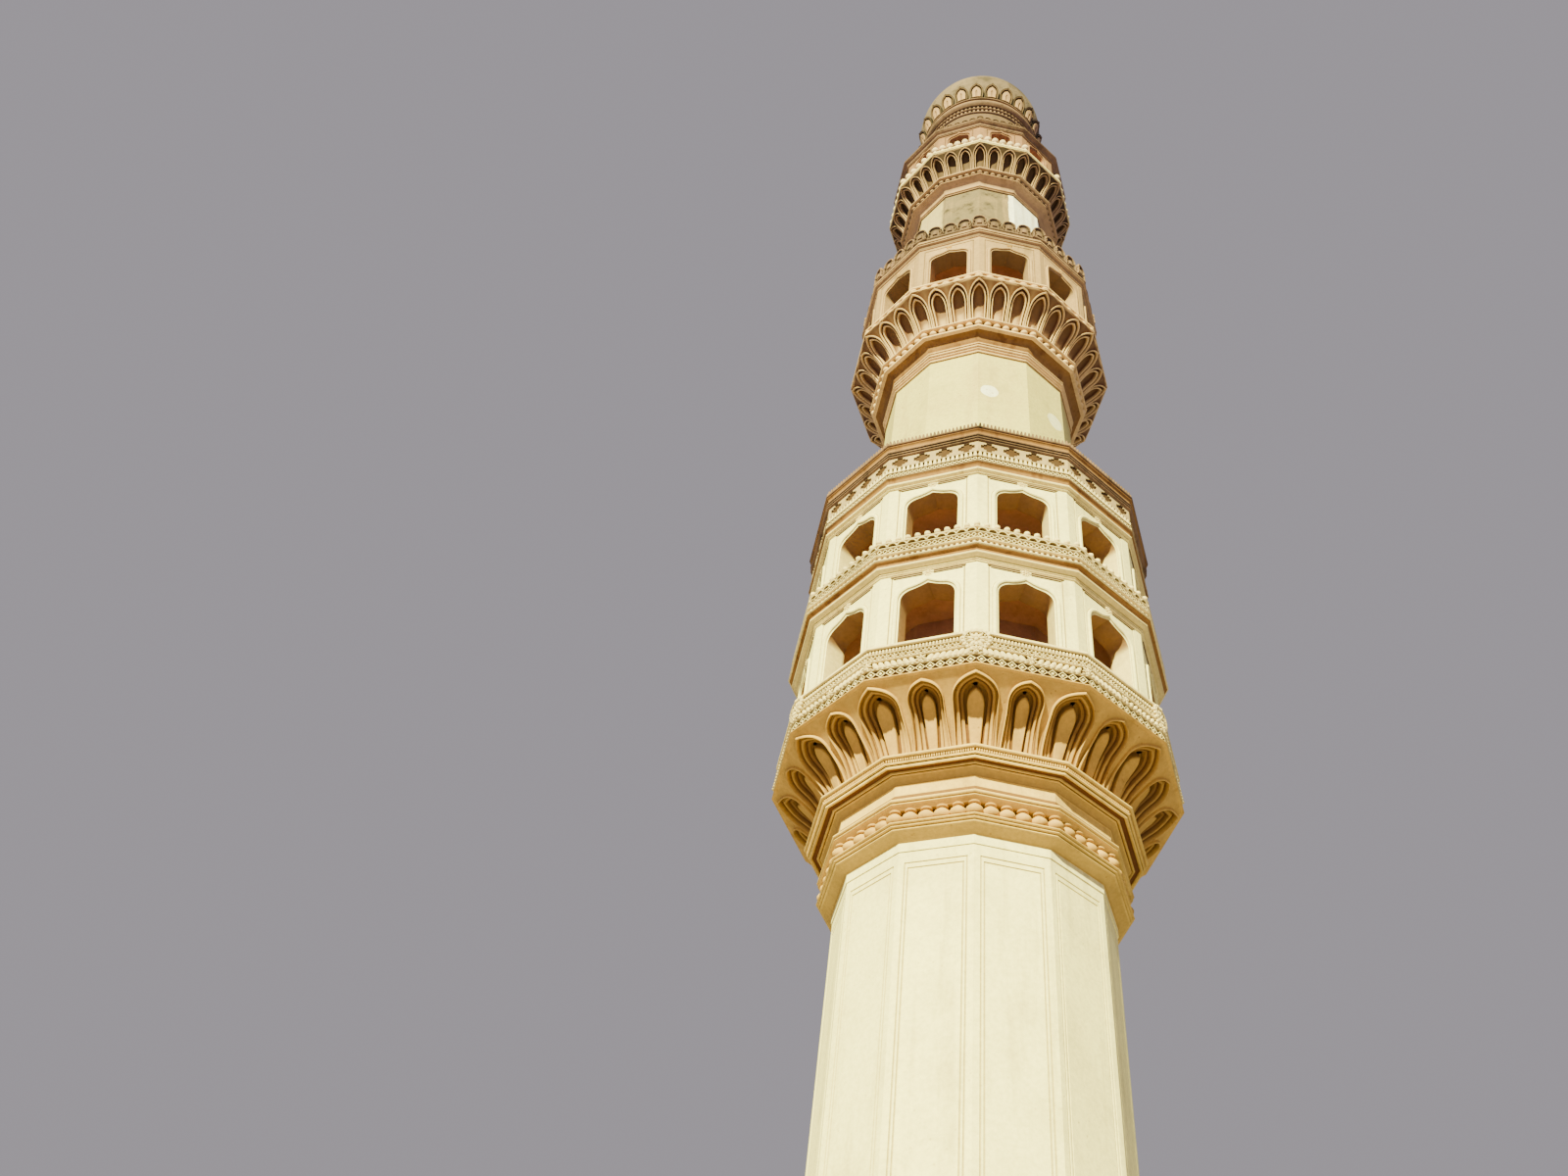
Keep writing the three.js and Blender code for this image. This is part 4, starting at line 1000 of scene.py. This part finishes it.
def relief(limits, radius, bore, share, up, height):
    """A band of a ring whose height(s, t) stands out of it, for shares along the side and up the band. Sunk parts are
    painted dark as their shade.
    """
    foot, head = limits
    out = np.tile(height(share[None], up[:, None]), SIDES)
    return ring(twelve(share), radius + out, foot + (head - foot) * up[:, None], bore, np.clip(-out / 0.02, 0, 1))


def crosses(s, t):
    """Stepped crosses: three rectangles about one middle, each narrower and taller than the last."""
    x = np.abs(((4 * s) % 1) - 0.5) * CROSS_SIDE / 4
    y = np.abs(t - CROSS_MIDDLE) * (CROSS_BAND[1] - CROSS_BAND[0])
    inside = np.zeros(np.broadcast_shapes(x.shape, y.shape), bool)
    for half_width, half_height in CROSS:
        inside |= (x < half_width) & (y < half_height)
    return np.where(inside, -0.03, 0.0)


across = np.array([0.5 + sign * half / (CROSS_SIDE / 4) for half, _ in CROSS for sign in (-1, 1)])
upright = np.array([CROSS_MIDDLE + sign * high / (CROSS_BAND[1] - CROSS_BAND[0]) for _, high in CROSS for sign in (-1, 1)])
columns = np.sort(np.concatenate([edges((cell + across) / 4, 0.002) for cell in range(4)] + [every(4)]))
rows = np.sort(np.concatenate([[0], edges(upright, 0.008), [1]]))
add("terrace_front", joined(
    moulding([
        (3.51, 23.072), (3.527, 23.08), (3.527, 23.1, 0.4), (3.48, 23.105, 0, 1), (3.48, 23.24, 0, 1), (3.52, 23.245),
        (3.52, 23.262, 0.4), (3.455, 23.268, 0, 1), (3.455, 23.415, 0, 1), (3.505, 23.42), (3.505, 23.43),
    ], TERRACE_BACK, None, 3.505),
    relief(CROSS_BAND, 3.505, TERRACE_BACK, columns, rows, crosses),
), WORN, "terrace_parapet")
add("terrace_work", joined(
    placed(hoop(0.034, 0.02, 0.028, 2 * math.pi, 8), on_sides(every(20, 0.5), 3.49, 23.172)),
    placed(block(0.075, 0.05, 0.15, 0.5), on_sides(every(20, 0.5), 3.48, 23.267)),
), PALE)
add("terrace_teeth", placed(block(0.06, 0.06, 0.115, 0.42), on_sides(every(24, 0.5), 3.56, 24.13)), OLD)

# %% [markdown]
# ## Merlons
# A merlon is a shell: a big round lobe over two smaller pairs. Its outline is drawn once, as a half that is
# mirrored, and lofted from its back to a raised rim and a sunk field with a small round in it.

# %% Merlons
LOBES = np.array([[0.18, 0], [0.18, 0.05], [0.165, 0.1], [0.155, 0.13], [0.165, 0.165], [0.175, 0.21], [0.16, 0.255],
                  [0.125, 0.28], [0.155, 0.315], [0.16, 0.37], [0.14, 0.43], [0.1, 0.48], [0.05, 0.51], [0, 0.52]])


def merlon(width, height, thick):
    """Layers from the back's middle, round the edge, over a rim and down to a sunk field."""
    right = LOBES * [width / 0.35, height / 0.52]
    outline = np.concatenate([right, right[-2::-1] * [-1, 1]])
    middle = np.array([0, 0.5 * height])
    rows = []
    for scale, out in ((0, -1), (0.97, -1), (1, -0.8), (1, 0.7), (0.94, 1), (0.84, 1), (0.78, 0.35), (0.34, 0.35),
                       (0.3, 0.8), (0.2, 0.9), (0, 0.9)):
        loop = middle + (outline - middle) * scale
        rows.append(np.stack([loop[:, 0], np.full(len(loop), out * thick / 2), loop[:, 1]], 1))
    # Dark shares: painted shade on the edge and where the rim steps down into the field.
    shade_and_dust = np.array([0, 0, 0.5, 0.2, 0, 0, 0.9, 0.3, 0.1, 0, 0])[:, None]
    return sheet(np.array(rows), shade_and_dust, around=True)


add("gallery_3_shells", joined(
    placed(merlon(0.38, 0.6, 0.15), on_sides(every(4), 2.96, 33.49)),
    moulding([(3.02, 33.422), (3.03, 33.45, 0.3), (3.0, 33.5)], 2.84),
), OLD, "gallery_3_merlons")
add("belvedere_shells", placed(merlon(0.22, 0.24, 0.08), on_sides(every(5), 2.25, 41.58)), OLD)

# %% [markdown]
# ## Drum, petals, dome and finial
# Above the belvedere the plan turns round. The drum carries a band of upright fillets, then a collar of pointed
# petals opens under the dome. A petal is a closed leaf: its back, its edge, a rim, a groove and a pale inner leaf.

# %% Drum, petals, dome and finial
ROUND = circle(144)
add("drum", joined(
    moulding([
        (1.7, 41.487), (1.7, 43.36), (1.75, 43.38), (1.75, 43.42, 0.3), (1.66, 43.43), (1.66, 43.6), (1.75, 43.61),
        (1.76, 43.65, 0.4), (1.69, 43.66), (1.69, 43.7), (1.73, 43.71), (1.73, 43.73), (1.67, 43.74), (1.67, 43.91),
        (1.74, 43.92), (1.78, 43.95), (1.8, 44.12, 0.25), (1.76, 44.15), (1.7, 44.17), (1.7, 44.29), (1.76, 44.3),
        (1.8, 44.33, 0.3), (1.78, 44.35),
    ], CHAMBER, ROUND, 1.72),
    placed(block(0.055, 0.07, 0.165), on_circle(84, 1.69, 43.432)),
    placed(egg(0.045, 0.04, 0.06, 6, 4), on_circle(84, 1.685, 43.825)),
    placed(egg(0.035, 0.04, 0.035, 6, 4), on_circle(84, 1.71, 44.235)),
), OLD, "dome_drum")

# The last number of each row is its dark share: painted shade in the grooves and under the petal's edge, and dirt.
petal_rows = (
    (0.84, 0.0, 0.42, 0.98, -0.07, 0.5), (0.93, 0.0, 0.42, 1.03, -0.04, 1.0), (0.93, 0.0, 0.42, 1.03, 0.0, 1.0),
    (0.90, 0.01, 0.42, 1.01, 0.015, 1.0), (0.78, 0.02, 0.42, 0.93, 0.01, 0.6), (0.74, 0.02, 0.42, 0.91, -0.03, 1.0),
    (0.60, 0.03, 0.42, 0.82, -0.03, 1.0), (0.56, 0.03, 0.42, 0.79, 0.02, 0.1), (0.38, 0.04, 0.4, 0.68, 0.03, 0.0),
    (0.14, 0.06, 0.38, 0.58, 0.03, 0.0), (0.1, 0.07, 0.38, 0.54, 0.01, 0.45),
)
layers = [(keel(half, foot, spring, apex, half * 0.9, PETAL_HEAD), depth, 1, dirt_and_shade)
          for half, foot, spring, apex, depth, dirt_and_shade in petal_rows]
layers = [(layers[0][0] * [0, 1], *layers[0][1:])] + layers + [(layers[-1][0] * [0, 1], *layers[-1][1:])]
dirt_and_shade = np.array([layer[3] for layer in layers])[:, None]
points = bent(layers, *levels("dome_petals"), 1.8, 0.2, 24, (1, 1), 1.5, math.radians(11.25), lambda angle: 0 * angle + 1)
add("petal_collar", cells(points, dirt_and_shade), PETAL, "dome_petals")
crown = np.linspace(-0.54, 1.3, 30)
outer = [(1.93 * math.cos(a), 45.35 + 1.93 * math.sin(a)) for a in crown]
inner = [(1.63 * math.cos(a), 45.35 + 1.63 * math.sin(a)) for a in np.linspace(math.pi / 2, -0.66, 16)]
add("dome_shell", moulding(
    inner + outer + [(0.42, 47.27, 0.1), (0.36, 47.33, 0.3), (0.28, 47.36), (0.22, 47.42, -0.2), (0, 47.42)], None, ROUND,
), DOMED, "dome")
add("finial_spire", moulding([
    (0, 47.421), (0.17, 47.421), (0.24, 47.46, 0.2), (0.2, 47.5, 0.2), (0.08, 47.56, -0.2), (0.07, 47.6), (0.2, 47.7, 0.2),
    (0.2, 47.8, 0.3), (0.07, 47.93, 0.1), (0.06, 47.96), (0.13, 48.03, 0.25), (0.1, 48.12, 0.25), (0.045, 48.2, -0.1),
    (0.04, 48.26), (0.07, 48.32, 0.3), (0.03, 48.4, 0.1), (0, 48.7),
], None, circle(32)), GILT, "finial")

# %% [markdown]
# ## The solids that stay
# The cores inside the galleries and the two upper shafts are right as they are, so they only get a finish. The
# shafts are patched: new white plaster in places, and one old grey field on the upper shaft. A patch is a soft
# test of how far a point lies from the patch's middle, with a rough edge from noise.

# %% The solids that stay
def rough_patch(tree, place, centre, size, roughness=0.35):
    """1 inside a rough-edged ellipsoid about a centre and 0 outside, in real metres."""
    real = put(tree, "ShaderNodeVectorMath", {0: place, "Scale": 1 / SCALE}, operation="SCALE").outputs[0]
    local = put(tree, "ShaderNodeVectorMath", {0: real, 1: centre}, operation="SUBTRACT").outputs[0]
    local = put(tree, "ShaderNodeVectorMath", {0: local, 1: size}, operation="DIVIDE").outputs[0]
    away = put(tree, "ShaderNodeVectorMath", {0: local}, operation="LENGTH").outputs["Value"]
    away = maths(tree, "ADD", away, maths(tree, "MULTIPLY", noise(tree, place, 8.0), roughness))
    return ramp(tree, away, 1.08 + roughness / 2, 0.98 + roughness / 2)


def repaint_middle(tree, fresh, age):
    """One round patch of new white plaster, and a fainter one further round."""
    place = tree.nodes.new("ShaderNodeTexCoord").outputs["Object"]
    first = rough_patch(tree, place, (-0.31, -2.17, 27.46), (0.2, 0.5, 0.22))
    second = rough_patch(tree, place, (1.33, -1.74, 27.45), (0.2, 0.5, 0.25))
    either = maths(tree, "MAXIMUM", first, maths(tree, "MULTIPLY", second, 0.5))
    colour = blend(tree, either, fresh, (1, 1, 0.9, 1))
    return colour, maths(tree, "MULTIPLY", maths(tree, "SUBTRACT", 1.0, either), age)


def repaint_upper(tree, fresh, age):
    """An old grey field across the front corner, with new white plaster to the right of it."""
    place = tree.nodes.new("ShaderNodeTexCoord").outputs["Object"]
    part = put(tree, "ShaderNodeSeparateXYZ", {0: place}).outputs
    wobble = maths(tree, "MULTIPLY", noise(tree, place, 6.0), 0.05)
    x = maths(tree, "ADD", part[0], wobble)
    front = ramp(tree, part[1], -0.2, -0.3)
    right_of = ramp(tree, x, 0.19, 0.2)
    left_of = ramp(tree, x, -0.68, -0.65)
    high = ramp(tree, maths(tree, "ADD", part[2], wobble), 17.42, 17.45)
    new = maths(tree, "MULTIPLY", right_of, front)
    old = maths(tree, "MULTIPLY", maths(tree, "MULTIPLY", maths(tree, "SUBTRACT", left_of, right_of), front), high)
    colour = blend(tree, new, fresh, (1, 1, 1, 1))
    colour = blend(tree, maths(tree, "MULTIPLY", old, 0.85), colour, (0.11, 0.077, 0.056, 1))
    return colour, maths(tree, "ADD", maths(tree, "MULTIPLY", old, 1.2), age)


MIDDLE = lime("middle_lime", "lime_cream", (0.62, 0.53, 0.20), blotches=0.2, runs=0.2, age=0.2, pits=0.8, repaint=repaint_middle)
UPPER = lime("upper_lime", "lime_cream", (0.48, 0.37, 0.20), growth=(0.05, 0.038, 0.026), blotches=0.3, runs=0.45, age=0.2, repaint=repaint_upper)
# The gallery cores take the dark inside plaster, painted shade of the galleries' insides.
KEPT = {"gallery_1_core": INSIDE, "gallery_2_core": INSIDE, "gallery_3_core": INSIDE, "middle_shaft": MIDDLE,
        "upper_shaft": UPPER}
for node, finish in KEPT.items():
    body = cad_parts[node]
    if not body.material_slots:
        body.data.materials.append(finish)
    for place in body.material_slots:
        place.link = "OBJECT"
        place.material = finish
print(f"{len(KEPT)} solids kept, {len(made)} pieces made, {sum(count for _, count in made)} triangles, "
      f"at most {max(count for _, count in made)} in a piece")

# %% [markdown]
# ## The camera, and the stage
# The photograph looks steeply up from the ground, a little to the left of the front side, with the camera tilted.
# A camera matrix is three columns: right, up and backwards. The tilt turns the first two about the third.

# %% Camera and stage
EYE = Vector((-5.165, -18.92, 1.6)) * SCALE
HEADING, PITCH, TILT = math.radians(86.48), math.radians(47.226), math.radians(9.177)
LENS, SENSOR = 31.53, 36.0

forward = Vector((math.cos(HEADING) * math.cos(PITCH), math.sin(HEADING) * math.cos(PITCH), math.sin(PITCH)))
level_right = forward.cross(Vector((0, 0, 1))).normalized()
level_up = level_right.cross(forward)
right = level_right * math.cos(TILT) + level_up * math.sin(TILT)
upward = level_up * math.cos(TILT) - level_right * math.sin(TILT)
camera = bpy.data.objects.new("photo_camera", bpy.data.cameras.new("photo_camera"))
camera.data.lens = LENS
camera.data.sensor_width = SENSOR
camera.data.clip_end = 300
camera.matrix_world = Matrix.Translation(EYE) @ Matrix((right, upward, -forward)).transposed().to_4x4()
bpy.context.scene.collection.objects.link(camera)
bpy.context.scene.camera = camera

floor_points = np.column_stack([12 * circle(64), np.full(64, -0.004)])
floor_mesh = bpy.data.meshes.new("studio_floor")
floor_mesh.from_pydata(floor_points.tolist(), [], [list(range(64))])
studio_floor = bpy.data.objects.new("studio_floor", floor_mesh)
bpy.context.scene.collection.objects.link(studio_floor)
pale = bpy.data.materials.new("pale_floor")
pale.use_nodes = True
pale.node_tree.nodes["Principled BSDF"].inputs["Base Color"].default_value = (0.42, 0.38, 0.33, 1)
pale.node_tree.nodes["Principled BSDF"].inputs["Roughness"].default_value = 0.9
floor_mesh.materials.append(pale)

world = bpy.data.worlds.new("soft_sky")
bpy.context.scene.world = world
world.use_nodes = True
world.node_tree.nodes["Background"].inputs["Color"].default_value = (0.90, 0.84, 0.92, 1)
world.node_tree.nodes["Background"].inputs["Strength"].default_value = 0.4


def lamp(name, strength, spread, azimuth, height, colour):
    """A far lamp that shines from an azimuth and a height above the horizon, both in degrees."""
    light = bpy.data.objects.new(name, bpy.data.lights.new(name, "SUN"))
    light.data.energy = strength
    light.data.angle = math.radians(spread)
    light.data.color = colour
    a, h = math.radians(azimuth), math.radians(height)
    source = Vector((math.cos(a) * math.cos(h), math.sin(a) * math.cos(h), math.sin(h)))
    light.rotation_mode = "QUATERNION"
    light.rotation_quaternion = source.to_track_quat("Z", "Y")
    bpy.context.scene.collection.objects.link(light)


lamp("key", 19.5, 2, -119, 27, (1.0, 1.0, 0.42))
lamp("bounce", 0.5, 90, -110, -35, (1.0, 0.82, 0.6))
